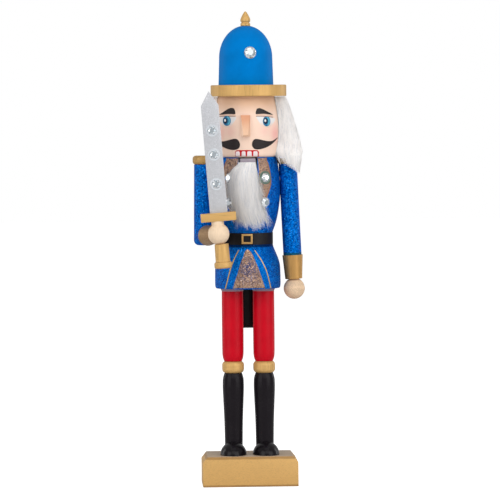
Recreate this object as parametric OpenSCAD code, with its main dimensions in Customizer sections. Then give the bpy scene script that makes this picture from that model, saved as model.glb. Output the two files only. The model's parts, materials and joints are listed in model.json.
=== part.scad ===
// Wooden nutcracker figure: a soldier with a sword, whose jaw opens when the lever at his back is lifted.
// He faces -Y, his left arm is on +X, and the origin is the middle of the base's underside.
// Every piece is a separate solid, turned or sawn as it would be in wood, and pinned with dowels.

/* [Base] */
// Width of the base block
base_w = 77; // [70:1:90]
// Depth of the base block, front to back
base_d = 50; // [48:1:70]
// Height of the base block
base_h = 24.5; // [18:0.5:40]
// How far the sloped side edges reach inwards
base_chamfer_w = 4; // [1:0.5:6]
// How far the sloped side edges reach down
base_chamfer_h = 5; // [1:0.5:8]

/* [Legs] */
// Distance between the two legs' centre lines
leg_spacing = 25.2; // [24:0.1:28]
// Height of the boots, from the base to the knee bands
boot_h = 65.8; // [55:0.1:80]
// Largest radius of a boot
boot_r = 8.6; // [8:0.1:9]
// Height of a knee band
knee_h = 9.8; // [8:0.1:14]
// Radius of a knee band
knee_r = 8.9; // [8.3:0.1:9.5]
// Length of the trouser legs
trouser_h = 59.2; // [45:0.1:75]
// Radius of the trouser legs
trouser_r = 8.7; // [8:0.1:9]
// Radius of a shoe across its toe
shoe_r = 10.7; // [10:0.1:11.5]
// Length of a shoe
shoe_len = 30; // [26:0.5:32]
// Angle by which each toe turns outwards
toe_out = 5; // [0:1:8]

/* [Coat] */
// Height of the coat skirt
skirt_h = 35.7; // [30:0.1:45]
// Radius of the coat skirt
skirt_r = 26.5; // [26:0.1:29]
// Height of the belt
belt_h = 9.3; // [6:0.1:12]
// Outer radius of the belt
belt_r = 20.7; // [20.4:0.1:21.5]
// Thickness of the belt strip
belt_t = 1; // [0.6:0.1:1.5]
// Height of the torso above the belt
torso_h = 61; // [60:0.5:64]
// Largest radius of the torso
torso_r = 26.8; // [26.4:0.1:27]

/* [Jaw lever] */
// Width of the slot that the lever moves in
slot_w = 15.6; // [14:0.1:16]
// Width of the lever board
lever_w = 12.4; // [11:0.1:13]
// Radius of the steel pin that the lever turns on
pin_r = 1.5; // [1:0.1:2]
// Clearance around the pin
pin_gap = 0.05; // [0.02:0.01:0.1]
// Gap between the closed jaw and the head
jaw_gap = 0.8; // [0.5:0.1:1.5]
// Thickness of the tail of the lever
tail_t = 10; // [8:0.5:10]
// How far the tail hangs below the coat skirt
tail_drop = 34; // [20:1:60]

/* [Head and hat] */
// Height of the head
head_h = 49; // [46:0.5:52]
// Largest radius of the head
head_r = 26.3; // [26:0.1:27]
// Radius of the hat brim
brim_r = 30.6; // [29:0.1:32]
// Thickness of the hat brim
brim_h = 9.2; // [7:0.1:11]
// How far the brim sits to the figure's left
brim_shift = 2; // [0:0.1:3]
// Height of the hat dome
dome_h = 47.5; // [44:0.5:52]
// Radius of the hat dome at the brim
dome_r = 22.2; // [20:0.1:24]
// Height of the finial
finial_h = 11.8; // [9:0.1:15]
// Radius of the finial
finial_r = 4.05; // [3.8:0.05:4.5]

/* [Arms] */
// Radius of the arms
arm_r = 7.4; // [7:0.1:7.6]
// Height of the shoulders below the top of the torso
shoulder_drop = 5.8; // [5:0.1:8]
// Distance from the middle to the left shoulder
left_shoulder_x = 33.2; // [32.8:0.1:34]
// Distance from the middle to the right shoulder
right_shoulder_x = 35.2; // [34:0.1:36]
// Length of the straight left arm down to its cuff
left_arm_len = 74; // [65:0.5:80]
// Length of the right upper arm
right_arm_len = 65.3; // [60:0.5:70]
// Radius of the shoulder caps
epaulette_r = 8.6; // [8:0.1:9]
// Thickness of the shoulder caps
epaulette_h = 7.2; // [5:0.1:8]
// Length of a cuff
cuff_len = 19.3; // [16:0.1:22]
// Radius of a cuff at its arm end
cuff_r = 8.3; // [7.8:0.1:9]
// Radius of a hand
hand_r = 8.6; // [8:0.1:9]

/* [Sword] */
// Length of the blade above the guard
blade_len = 97.3; // [80:0.1:110]
// Width of the blade
blade_w = 14.1; // [12:0.1:16]
// Thickness of the blade
blade_t = 3; // [2.5:0.1:4]
// Width of the guard
guard_w = 28.2; // [24:0.1:32]
// Height of the guard
guard_h = 6.7; // [6:0.1:9]
// Depth of the guard
guard_d = 10; // [9:0.5:12]
// Lean of the sword towards the figure's right
sword_lean = 4.3; // [0:0.1:6]

/* [Hidden] */
$fn = 72;
eps = 0.01;
dowel_r = 2.5;
glue_gap = 0.03;
far = 200;

// Heights of the stack, from the base up
shoe_z = base_h;
knee_z = base_h + boot_h;
trouser_z = knee_z + knee_h;
skirt_z = trouser_z + trouser_h;
belt_z = skirt_z + skirt_h;
torso_z = belt_z + belt_h;
head_z = torso_z + torso_h;
brim_z = head_z + head_h;
dome_z = brim_z + brim_h;
finial_z = dome_z + dome_h;

leg_x = leg_spacing / 2;
leg_dowel_r = 3.5;
leg_dowel_bottom = base_h - 12;
leg_dowel_top = skirt_z + 12;
shoe_front = 22;
boot_bottom = shoe_z + 4.5;

// Joints between the stacked pieces
waist_r = belt_r - belt_t;
waist_dowel_x = 11;
waist_dowel_len = 20;
neck_dowel_x = 15;
neck_dowel_len = 22;
hat_dowel_r = 4;
hat_dowel_below = 12;
hat_dowel_above = 14;
finial_peg_r = 1.5;
finial_peg_len = 6;

// Hat dome: height of its straight side, and radius of the flat under the finial
dome_cone_h = 22;
dome_flat_r = 4;

// Jaw lever, in the plane that divides the figure's left from its right
pivot_y = 0;
pivot_z = head_z - 23.8;
jaw_front = -24.2;
jaw_back = -8;
jaw_top = head_z - jaw_gap;
jaw_bottom = pivot_z - 11;
tail_out = skirt_r + 0.5;
tail_in = tail_out - tail_t;
tail_end = skirt_z - tail_drop;
channel_y = tail_in - 1;
slot_floor = pivot_z - 23;
slot_step = pivot_z - 32;
pin_len = 50;

// Arms
shoulder_z = head_z - shoulder_drop;
left_arm_lean = 2.5;
right_arm_lean = 0.7;
shoulder_dowel_drop = 12;
elbow_drop = right_arm_len - 7.3;
elbow_x = -right_shoulder_x - elbow_drop * sin(right_arm_lean);
elbow_z = shoulder_z - elbow_drop;
forearm_in = 17;
forearm_rise = 4.6;
cuff_end_r = 6.9;
cuff_to_hand = 7.8;
forearm_len = 12.3;
hand_along = forearm_len + cuff_len + cuff_to_hand;
hand_x = elbow_x + hand_along * cos(forearm_rise) * sin(forearm_in);
hand_y = -hand_along * cos(forearm_rise) * cos(forearm_in);
hand_z = elbow_z + hand_along * sin(forearm_rise);
wrist_dowel_r = 2;
wrist_dowel_in = 8;
elbow_dowel_in = 4;

// Sword, measured up from the middle of the right hand
grip_offset = 1.6;
guard_low = 10.3;
guard_shift = -0.6;
blade_low = guard_low + guard_h;
blade_tenon = 4;
blade_point = 11.4;
pommel_low = -27.6;
pommel_h = 5.3;
pommel_r = 7.1;
grip_r = 5.9;
grip_taper = 0.3;
grip_sink = 0.5;
tenon_r = 2.2;
tenon_low = -hand_r - 2;
tenon_top = guard_low + 2.4;

// Rhinestones: radius and height of a setting
hat_gem_r = 4.85;
chest_gem_r = 4.3;
sword_gem_r = 3.7;
hat_gem_z = dome_z + 25.8;
hat_gem_angle = 7.8;
chest_gem_angles = [32, -35];
chest_gem_z = [slot_step + 19.6, slot_step + 39.4];
sword_gem_heights = [23, 46.6, 65.9];

// ---- Curves and turned shapes ----

// A point on a smooth curve through b and c, with a and d its neighbours
function curve_point(a, b, c, d, t) =
    0.5 * (2 * b + (c - a) * t + (2 * a - 5 * b + 4 * c - d) * t * t + (3 * b - a - 3 * c + d) * t * t * t);

// A smooth curve through every point of a list
function smooth(pts, steps = 5) = concat(
    [
        for (i = [0 : len(pts) - 2], k = [0 : steps - 1])
            curve_point(
                pts[max(i - 1, 0)], pts[i], pts[i + 1], pts[min(i + 2, len(pts) - 1)],
                k / steps
            )
    ],
    [pts[len(pts) - 1]]
);

// Points along an arc about c, from angle a0 to a1
function arc(c, r, a0, a1, steps = 8) =
    [for (k = [0 : steps]) let (a = a0 + (a1 - a0) * k / steps) c + r * [cos(a), sin(a)]];

// The outline of a disc with rounded edges, from its bottom to its top
function disc_outline(r, h, edge) = concat(
    arc([r - edge, edge], edge, -90, 0, 5),
    arc([r - edge, h - edge], edge, 0, 90, 5)
);

// A solid turned about Z from an outline of [radius, height] points, from its bottom to its top
module turned(outline) {
    rotate_extrude()
        polygon(concat([[0, outline[0].y]], outline, [[0, outline[len(outline) - 1].y]]));
}

// A vertical rod that starts z above the frame's origin
module rod(r, h, z = 0) {
    translate([0, 0, z])
        cylinder(r = r, h = h);
}

module at_leg(side) {
    translate([side * leg_x, 0, 0])
        children();
}

// ---- Base and legs ----

module base() {
    color("burlywood")
    difference() {
        translate([0, base_d / 2, 0])
            rotate([90, 0, 0])
                linear_extrude(height = base_d)
                    polygon([
                        [-base_w / 2, 0],
                        [base_w / 2, 0],
                        [base_w / 2, base_h - base_chamfer_h],
                        [base_w / 2 - base_chamfer_w, base_h],
                        [base_chamfer_w - base_w / 2, base_h],
                        [-base_w / 2, base_h - base_chamfer_h]
                    ]);
        for (side = [-1, 1])
            at_leg(side)
                rod(leg_dowel_r + glue_gap, far, leg_dowel_bottom);
    }
}

module shoe(side) {
    color("black")
    difference() {
        translate([side * leg_x, 0, shoe_z])
            rotate([0, 0, side * toe_out])
                intersection() {
                    translate([0, shoe_len / 2 - shoe_front, 0])
                        rotate([90, 0, 0])
                            rotate_extrude()
                                polygon([
                                    for (a = [-90 : 6 : 90])
                                        [shoe_r * cos(a), shoe_len / 2 * sin(a)]
                                ]);
                    translate([-far / 2, -far / 2, 0])
                        cube([far, far, far]);
                }
        at_leg(side) {
            rod(leg_dowel_r + glue_gap, far);
            rod(boot_r, far, boot_bottom);
        }
    }
}

module boot(side) {
    outline = smooth([
        [7.2, boot_bottom],
        [7.25, shoe_z + 9],
        [7.6, shoe_z + 28],
        [boot_r - 0.1, shoe_z + boot_h - 16],
        [boot_r, shoe_z + boot_h - 9],
        [boot_r - 0.3, shoe_z + boot_h - 4],
        [7.1, knee_z]
    ]);
    color("dimgray")
    difference() {
        at_leg(side)
            turned(outline);
        at_leg(side)
            rod(leg_dowel_r + glue_gap, far);
    }
}

module knee_band(side) {
    color("goldenrod")
    difference() {
        at_leg(side)
            translate([0, 0, knee_z])
                turned(disc_outline(knee_r, knee_h, 3.2));
        at_leg(side)
            rod(leg_dowel_r + glue_gap, far);
    }
}

// A straight leg with a flared rim under the coat
module trouser_leg(side) {
    rim_h = 2.6;
    rim_out = 1.1;
    outline = smooth([
        [7.3, trouser_z],
        [trouser_r - 0.3, trouser_z + 4],
        [trouser_r, trouser_z + 12],
        [trouser_r, trouser_z + trouser_h - 12],
        [trouser_r - 0.1, skirt_z - rim_h]
    ]);
    color("crimson")
    difference() {
        at_leg(side)
            turned(concat(outline, [[trouser_r + rim_out, skirt_z]]));
        at_leg(side)
            rod(leg_dowel_r + glue_gap, far);
    }
}

module leg_dowels() {
    color("tan")
    for (side = [-1, 1])
        at_leg(side)
            rod(leg_dowel_r, leg_dowel_top - leg_dowel_bottom, leg_dowel_bottom);
}

// ---- Coat, belt and torso ----

// The space that the lever moves in: through the torso, and down a channel in the back
module lever_slot() {
    translate([-slot_w / 2, 0, 0])
        rotate([90, 0, 90])
            linear_extrude(height = slot_w)
                polygon([
                    [-far, slot_floor],
                    [channel_y - 8, slot_floor],
                    [channel_y, slot_step],
                    [channel_y, 0],
                    [far, 0],
                    [far, 2 * far],
                    [-far, 2 * far]
                ]);
}

module waist_dowel_rods(r) {
    for (side = [-1, 1])
        translate([side * waist_dowel_x, 0, 0])
            rod(r, waist_dowel_len, belt_z - waist_dowel_len / 2);
}

module waist_dowels() {
    color("tan")
        waist_dowel_rods(dowel_r);
}

module coat_skirt() {
    outline = smooth([
        [skirt_r - 0.8, skirt_z],
        [skirt_r, skirt_z + 2.5],
        [skirt_r, skirt_z + 12],
        [skirt_r - 0.4, skirt_z + 19],
        [skirt_r - 2.2, skirt_z + skirt_h - 10.5],
        [belt_r + 0.5, skirt_z + skirt_h - 3],
        [belt_r - 0.2, belt_z]
    ]);
    color("royalblue")
    difference() {
        turned(outline);
        lever_slot();
        waist_dowel_rods(dowel_r + glue_gap);
        for (side = [-1, 1])
            at_leg(side)
                rod(leg_dowel_r + glue_gap, leg_dowel_top);
    }
}

// The outline of the barrel above the waist, made larger by grow
function torso_outline(grow = 0) = [
    for (p = smooth([
        [belt_r - 0.4, torso_z],
        [belt_r + 2.5, torso_z + 8],
        [torso_r - 1.4, torso_z + 18],
        [torso_r, torso_z + 30],
        [torso_r - 0.2, torso_z + 42],
        [torso_r - 1.4, torso_z + torso_h - 7],
        [torso_r - 3, head_z]
    ]))
        p + [grow, 0]
];

module neck_dowel_rods(r) {
    for (side = [-1, 1])
        translate([side * neck_dowel_x, 0, 0])
            rod(r, neck_dowel_len, head_z - neck_dowel_len / 2);
}

module neck_dowels() {
    color("tan")
        neck_dowel_rods(dowel_r);
}

module torso() {
    color("royalblue")
    difference() {
        union() {
            turned(torso_outline());
            rod(waist_r, belt_h + eps, belt_z);
        }
        lever_slot();
        waist_dowel_rods(dowel_r + glue_gap);
        neck_dowel_rods(dowel_r + glue_gap);
        shoulder_dowel_rods(dowel_r + glue_gap);
        lever_pin_rod(pin_r);
    }
}

module belt() {
    color("black")
    difference() {
        rod(belt_r, belt_h, belt_z);
        rod(waist_r, 2 * far);
        lever_slot();
    }
}

module buckle() {
    frame_w = 8.9;
    frame_h = 8;
    frame_bar = 1.5;
    frame_d = 1.2;
    sink = 0.3;
    buckle_x = -1.1;
    color("gold")
    difference() {
        translate([buckle_x, sink - belt_r - frame_d / 2, belt_z + belt_h / 2])
            difference() {
                cube([frame_w, frame_d, frame_h], center = true);
                cube([frame_w - 2 * frame_bar, 2 * frame_d, frame_h - 2 * frame_bar], center = true);
            }
        rod(belt_r, 2 * far);
    }
}

// ---- Jaw lever and beard ----

module lever_pin_rod(r) {
    translate([-pin_len / 2, pivot_y, pivot_z])
        rotate([0, 90, 0])
            cylinder(r = r, h = pin_len);
}

module lever_pin() {
    color("silver")
        lever_pin_rod(pin_r);
}

// One sawn board: the jaw at the front top, a curved neck over the pin, and the tail down the back
module jaw_lever() {
    tip_r = tail_t / 2;
    outline = concat(
        [[jaw_front, jaw_bottom], [jaw_front, jaw_top], [jaw_back, jaw_top], [jaw_back, pivot_z + 10]],
        arc([tail_out - 20, pivot_z - 12], 20, 105, 0, 12),
        arc([tail_out - tip_r, tail_end + tip_r], tip_r, 0, -180, 12),
        arc([tail_in - 12, pivot_z - 28], 12, 0, 90, 8),
        [[pivot_y - 10, pivot_z - 14]]
    );
    color("white")
    difference() {
        translate([-lever_w / 2, 0, 0])
            rotate([90, 0, 90])
                linear_extrude(height = lever_w)
                    polygon(outline);
        lever_pin_rod(pin_r + pin_gap);
    }
}

// The space that the fur beard fills, on the jaw and over the chest
module beard() {
    fur_t = 5.5;
    chest_gap = 0.5;
    top = jaw_top - 3;
    outline = smooth([
        [lever_w / 2, top],
        [lever_w / 2 + 0.6, top - 16],
        [8.2, top - 30],
        [11.5, top - 41],
        [14.5, top - 51],
        [5, top - 56.5],
        [-7, top - 52],
        [-11, top - 40],
        [-14, top - 26],
        [-14.5, top - 13],
        [-lever_w / 2, top]
    ]);
    color("whitesmoke")
    union() {
        difference() {
            intersection() {
                translate([0, -5, 0])
                    rotate([90, 0, 0])
                        linear_extrude(height = far)
                            polygon(outline);
                turned(torso_outline(fur_t));
            }
            turned(concat([[belt_r + chest_gap, 0]], torso_outline(chest_gap), [[belt_r, far * 2]]));
            at_chest_gems()
                rotate([90, 0, 0])
                    cylinder(r = chest_gem_r + chest_gap, h = far);
        }
        translate([1 - lever_w / 2, jaw_front - 4, jaw_bottom + 3])
            cube([lever_w - 2, 4, top - jaw_bottom - 4]);
    }
}

// ---- Head and hair ----

function head_outline(grow = 0) = [
    for (p = concat(
        arc([head_r - 4.2, head_z + 3], 3, -90, -10, 5),
        smooth([
            [head_r - 0.5, head_z + 10],
            [head_r, head_z + 21],
            [head_r - 0.9, head_z + 33],
            [head_r - 3.5, brim_z]
        ])
    ))
        p + [grow, 0]
];

module head() {
    color("peachpuff")
    difference() {
        turned(head_outline());
        neck_dowel_rods(dowel_r + glue_gap);
        hat_dowel_rod(hat_dowel_r + glue_gap);
    }
}

// A wedge that tapers towards its front, with its back cut to the curve of the face
module nose() {
    nose_w = 7.8;
    nose_front_w = 3.8;
    nose_h = 17;
    nose_out = 6.5;
    nose_z = head_z + 16.9;
    nose_x = -1.8;
    color("sandybrown")
    difference() {
        intersection() {
            translate([nose_x, 0, nose_z])
                linear_extrude(height = nose_h)
                    polygon([
                        [-nose_w / 2, -head_r + 4],
                        [-nose_w / 2, -head_r],
                        [-nose_front_w / 2, -head_r - nose_out],
                        [nose_front_w / 2, -head_r - nose_out],
                        [nose_w / 2, -head_r],
                        [nose_w / 2, -head_r + 4]
                    ]);
            translate([-far / 2, 0, nose_z])
                rotate([90, 0, 90])
                    linear_extrude(height = far)
                        polygon([
                            [-head_r + 4, 0],
                            [-head_r - nose_out + 0.8, 0],
                            [-head_r - nose_out, 1.2],
                            [-head_r - 0.8, nose_h],
                            [-head_r + 4, nose_h]
                        ]);
        }
        turned(head_outline(eps));
    }
}

// The space that the fur hair fills: close around the back, and fuller over the left shoulder
module hair() {
    head_gap = 0.3;
    hair_low = shoulder_z + epaulette_h + 0.6;
    back_from = 62;
    side_from = -6;
    side_to = 188;
    module band(low_r, high_r, a0, a1) {
        rotate([0, 0, a0])
            rotate_extrude(angle = a1 - a0)
                polygon([
                    [head_r - 8, hair_low],
                    [low_r, hair_low],
                    [(low_r + high_r) / 2 + 1, (hair_low + brim_z) / 2],
                    [high_r, brim_z - 0.4],
                    [head_r - 8, brim_z - 0.4]
                ]);
    }
    color("white")
    difference() {
        union() {
            band(45.5, 32, side_from, back_from);
            band(33, 29.5, back_from - 1, side_to);
        }
        turned(concat([[head_r, 0]], head_outline(head_gap), [[head_r, far * 2]]));
    }
}

// ---- Hat ----

module hat_dowel_rod(r) {
    rod(r, hat_dowel_below + brim_h + hat_dowel_above, brim_z - hat_dowel_below);
}

module hat_dowel() {
    color("tan")
        hat_dowel_rod(hat_dowel_r);
}

module hat_brim() {
    color("goldenrod")
    difference() {
        translate([brim_shift, 0, brim_z])
            turned(disc_outline(brim_r, brim_h, 0.8));
        hat_dowel_rod(hat_dowel_r + glue_gap);
    }
}

// A slightly conical side that runs into half an ellipse, cut flat under the finial
function dome_outline() =
    let (
        side_r = dome_r - 0.7,
        cap_h = dome_h - dome_cone_h,
        full = acos(dome_flat_r / side_r),
        cap = cap_h / sin(full)
    )
    concat(
        [[dome_r, dome_z]],
        [for (k = [0 : 20]) let (a = full * k / 20) [side_r * cos(a), dome_z + dome_cone_h + cap * sin(a)]]
    );

module hat_dome() {
    color("dodgerblue")
    difference() {
        turned(dome_outline());
        hat_dowel_rod(hat_dowel_r + glue_gap);
        rod(finial_peg_r + glue_gap, far, finial_z - finial_peg_len);
    }
}

// An acorn on a ring, with a peg into the dome
module finial() {
    ring_h = 2.4;
    groove = 3.2;
    color("goldenrod")
    translate([0, 0, finial_z])
        union() {
            turned(concat(
                disc_outline(finial_r - 0.1, ring_h, 0.6),
                [[groove, ring_h], [groove, ring_h + 0.7]],
                smooth([
                    [finial_r - 0.3, ring_h + 1.1],
                    [finial_r, ring_h + 2.2],
                    [finial_r - 0.5, ring_h + 4.2],
                    [finial_r * 0.55, finial_h - 2.6],
                    [finial_r * 0.3, finial_h - 0.9],
                    [0.4, finial_h]
                ])
            ));
            rod(finial_peg_r, finial_peg_len, eps - finial_peg_len);
        }
}

// ---- Rhinestones ----

// A flat-backed stone that faces -Y, its back at y = 0
module stone(r) {
    h = r * 0.55;
    rotate([90, 0, 0])
        rotate_extrude()
            polygon([[0, -1.5], [r, -1.5], [r, h * 0.25], [r * 0.55, h], [0, h]]);
}

module hat_gem() {
    color("lightcyan")
    difference() {
        rotate([0, 0, hat_gem_angle])
            translate([0, -dome_r + 1.4, hat_gem_z])
                stone(hat_gem_r);
        turned(dome_outline());
    }
}

// Puts its children at the height of each chest stone, turned to the side that it is on
module at_chest_gems() {
    for (angle = chest_gem_angles, z = chest_gem_z)
        rotate([0, 0, angle])
            translate([0, 0, z])
                children();
}

module chest_gems() {
    color("lightcyan")
    difference() {
        at_chest_gems()
            translate([0, 0.6 - torso_r, 0])
                stone(chest_gem_r);
        turned(torso_outline());
    }
}

module sword_gems() {
    color("lightcyan")
    at_sword()
        difference() {
            for (z = sword_gem_heights)
                translate([0, -blade_t / 2, blade_low + z])
                    stone(sword_gem_r);
            translate([-far / 2, -blade_t / 2, 0])
                cube([far, far, far]);
        }
}

// ---- Arms ----

// Puts its children in the frame of an arm: the shoulder at the origin, the arm down -Z
module at_left_arm() {
    translate([left_shoulder_x, 0, shoulder_z])
        rotate([0, -left_arm_lean, 0])
            children();
}

module at_right_arm() {
    translate([-right_shoulder_x, 0, shoulder_z])
        rotate([0, right_arm_lean, 0])
            children();
}

// Puts its children in the frame of the right forearm: the elbow at the origin, the hand along +Z
module at_forearm() {
    translate([elbow_x, 0, elbow_z])
        rotate([90 - forearm_rise, 0, forearm_in])
            children();
}

module shoulder_dowel_rods(r) {
    inner = 20;
    for (side = [-1, 1])
        translate([side * (inner + 8), 0, shoulder_z - shoulder_dowel_drop])
            rotate([0, 90, 0])
                cylinder(r = r, h = 16, center = true);
}

module shoulder_dowels() {
    color("tan")
        shoulder_dowel_rods(dowel_r);
}

module epaulette_disc() {
    turned(disc_outline(epaulette_r, epaulette_h, 2.6));
}

// The left arm and its cap are cut to the curve of the torso that they are glued to
module left_epaulette() {
    color("goldenrod")
    difference() {
        at_left_arm()
            epaulette_disc();
        turned(torso_outline(eps));
    }
}

module right_epaulette() {
    color("goldenrod")
        at_right_arm()
            epaulette_disc();
}

module left_arm() {
    color("royalblue")
    difference() {
        at_left_arm()
            rod(arm_r, left_arm_len, -left_arm_len);
        turned(torso_outline(eps));
        shoulder_dowel_rods(dowel_r + glue_gap);
        at_left_arm()
            rod(wrist_dowel_r + glue_gap, wrist_dowel_in + glue_gap + eps, -left_arm_len - eps);
    }
}

module right_upper_arm() {
    color("royalblue")
    difference() {
        at_right_arm()
            turned(concat(
                arc([arm_r - 4, 4 - right_arm_len], 4, -90, 0, 6),
                [[arm_r, 0]]
            ));
        shoulder_dowel_rods(dowel_r + glue_gap);
        at_forearm()
            rod(
                wrist_dowel_r + glue_gap, forearm_len + elbow_dowel_in + glue_gap,
                -elbow_dowel_in - glue_gap
            );
    }
}

// The short stub of sleeve between the elbow and the cuff, coped to the upper arm
module right_forearm() {
    color("royalblue")
    difference() {
        at_forearm()
            rod(arm_r, forearm_len - 2, 2);
        at_right_arm()
            rod(arm_r + eps, far, -far / 2);
        at_forearm()
            rod(wrist_dowel_r + glue_gap, far, -far / 2);
    }
}

// A cone that narrows towards the hand, hollowed where the hand sits
module cuff() {
    difference() {
        cylinder(r1 = cuff_r, r2 = cuff_end_r, h = cuff_len);
        translate([0, 0, cuff_len + cuff_to_hand])
            sphere(r = hand_r + glue_gap);
        translate([0, 0, -eps])
            cylinder(r = wrist_dowel_r + glue_gap, h = far);
    }
}

module left_cuff() {
    color("goldenrod")
        at_left_arm()
            translate([0, 0, -left_arm_len])
                rotate([180, 0, 0])
                    cuff();
}

module right_cuff() {
    color("goldenrod")
        at_forearm()
            translate([0, 0, forearm_len])
                cuff();
}

// A wooden ball bored for its wrist dowel, centred at the origin with the dowel along -Z
module hand_ball() {
    difference() {
        sphere(r = hand_r);
        translate([0, 0, -far])
            cylinder(r = wrist_dowel_r + glue_gap, h = far);
    }
}

module left_hand() {
    color("wheat")
        at_left_arm()
            translate([0, 0, -left_arm_len - cuff_len - cuff_to_hand])
                rotate([180, 0, 0])
                    hand_ball();
}

// The right hand has a short neck that the sword's guard rests on
module right_hand() {
    neck_r = 5;
    color("wheat")
    difference() {
        union() {
            at_forearm()
                translate([0, 0, hand_along])
                    sphere(r = hand_r);
            at_sword()
                translate([-grip_offset, 0, 0])
                    rod(neck_r, guard_low);
        }
        at_forearm()
            rod(wrist_dowel_r + glue_gap, hand_along);
        at_sword()
            rod(tenon_r + glue_gap, far, -far / 2);
    }
}

module wrist_dowels() {
    color("tan") {
        at_left_arm()
            rod(
                wrist_dowel_r, wrist_dowel_in + cuff_len + cuff_to_hand,
                -left_arm_len - cuff_len - cuff_to_hand
            );
        at_forearm()
            rod(wrist_dowel_r, elbow_dowel_in + hand_along - tenon_r - 3, -elbow_dowel_in);
    }
}

// ---- Sword ----

// Puts its children in the frame of the sword: the middle of the hand at the origin, the blade along +Z
module at_sword() {
    translate([hand_x + grip_offset, hand_y, hand_z])
        rotate([0, -sword_lean, 0])
            children();
}

module blade_slab(grow = 0) {
    translate([0, blade_t / 2 + grow, 0])
        rotate([90, 0, 0])
            linear_extrude(height = blade_t + 2 * grow)
                polygon([
                    [-blade_w / 2 - grow, blade_low - blade_tenon - grow],
                    [blade_w / 2 + grow, blade_low - blade_tenon - grow],
                    [blade_w / 2 + grow, blade_low + blade_len - blade_point],
                    [0, blade_low + blade_len],
                    [-blade_w / 2 - grow, blade_low + blade_len - blade_point]
                ]);
}

module sword_blade() {
    color("lightgray")
        at_sword()
            blade_slab();
}

module sword_guard() {
    color("goldenrod")
    at_sword()
        difference() {
            translate([guard_shift - guard_w / 2, -guard_d / 2, guard_low])
                cube([guard_w, guard_d, guard_h]);
            blade_slab(glue_gap);
            rod(tenon_r + glue_gap, tenon_top + glue_gap);
        }
}

// A turned handle with a flange at its end and a thin tenon through the hand into the guard
module sword_grip() {
    color("goldenrod")
    difference() {
        at_sword()
            union() {
                turned(concat(
                    [for (p = disc_outline(pommel_r, pommel_h, 1.6)) p + [0, pommel_low]],
                    [[grip_r, pommel_low + pommel_h], [grip_r - grip_taper, grip_sink - hand_r]]
                ));
                rod(tenon_r, tenon_top - tenon_low, tenon_low);
            }
        difference() {
            translate([hand_x, hand_y, hand_z])
                sphere(r = hand_r + glue_gap);
            at_sword()
                rod(tenon_r, far, -far / 2);
        }
    }
}

base();
shoe(1);  // left_shoe
shoe(-1);  // right_shoe
boot(1);  // left_boot
boot(-1);  // right_boot
knee_band(1);  // left_knee_band
knee_band(-1);  // right_knee_band
trouser_leg(1);  // left_trouser_leg
trouser_leg(-1);  // right_trouser_leg
leg_dowels();
coat_skirt();
waist_dowels();
torso();
belt();
buckle();
lever_pin();
jaw_lever();
beard();
neck_dowels();
head();
nose();
hair();
hat_brim();
hat_dome();
hat_dowel();
finial();
hat_gem();
chest_gems();
sword_gems();
left_epaulette();
right_epaulette();
left_arm();
right_upper_arm();
right_forearm();
shoulder_dowels();
wrist_dowels();
left_cuff();
right_cuff();
left_hand();
right_hand();
sword_blade();
sword_guard();
sword_grip();
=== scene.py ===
import json
import math

import bmesh
import bpy
import numpy as np
from mathutils import Matrix, Vector
from mathutils.bvhtree import BVHTree
from mathutils.geometry import delaunay_2d_cdt


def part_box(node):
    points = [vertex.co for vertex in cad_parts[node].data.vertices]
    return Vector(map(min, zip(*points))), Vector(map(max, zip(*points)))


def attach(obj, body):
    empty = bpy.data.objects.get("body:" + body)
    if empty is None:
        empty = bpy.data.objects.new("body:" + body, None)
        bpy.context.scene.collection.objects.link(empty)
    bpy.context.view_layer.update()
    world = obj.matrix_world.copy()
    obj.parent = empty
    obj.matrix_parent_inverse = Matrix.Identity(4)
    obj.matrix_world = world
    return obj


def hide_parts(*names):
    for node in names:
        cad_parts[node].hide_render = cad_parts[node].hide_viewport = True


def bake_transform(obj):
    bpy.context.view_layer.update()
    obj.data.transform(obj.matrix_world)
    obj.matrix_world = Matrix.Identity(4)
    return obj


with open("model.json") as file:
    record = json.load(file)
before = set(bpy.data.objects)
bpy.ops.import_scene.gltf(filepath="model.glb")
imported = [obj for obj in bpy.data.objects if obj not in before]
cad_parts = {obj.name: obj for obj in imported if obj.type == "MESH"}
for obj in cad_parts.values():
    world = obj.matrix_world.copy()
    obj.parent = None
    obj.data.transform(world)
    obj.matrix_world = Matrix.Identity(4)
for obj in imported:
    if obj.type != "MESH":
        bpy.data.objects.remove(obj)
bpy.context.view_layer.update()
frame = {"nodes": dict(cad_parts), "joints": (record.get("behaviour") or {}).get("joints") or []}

MM = 0.001
NODES = frame["nodes"]
PIVOT = Vector(frame["joints"][0]["pos_m"])
FIGURE, LEVER = "figure", "lever"
SLOT_HALF = 7.9 * MM
SLOT_MARGIN = 0.08 * MM
SLOT_REAR = 17.5 * MM


# ---------------------------------------------------------------- camera, light and floor

VIEW_HEIGHT = 0.3165
VIEW_DISTANCE = 2.9
VIEW_AZIMUTH = math.radians(-2.2)
ROLL = math.radians(0.55)
AIM_HEIGHT = 0.1899
AIM_SIDE = 0.0020
FRAME_WIDTH = 0.405
SENSOR = 36.0
LIGHT_AIM = Vector((0, 0, 0.2))
WORLD_LIGHT = 0.42
FLOOR_HALF = 6.0
FLOOR_DROP = 0.0002


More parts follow.
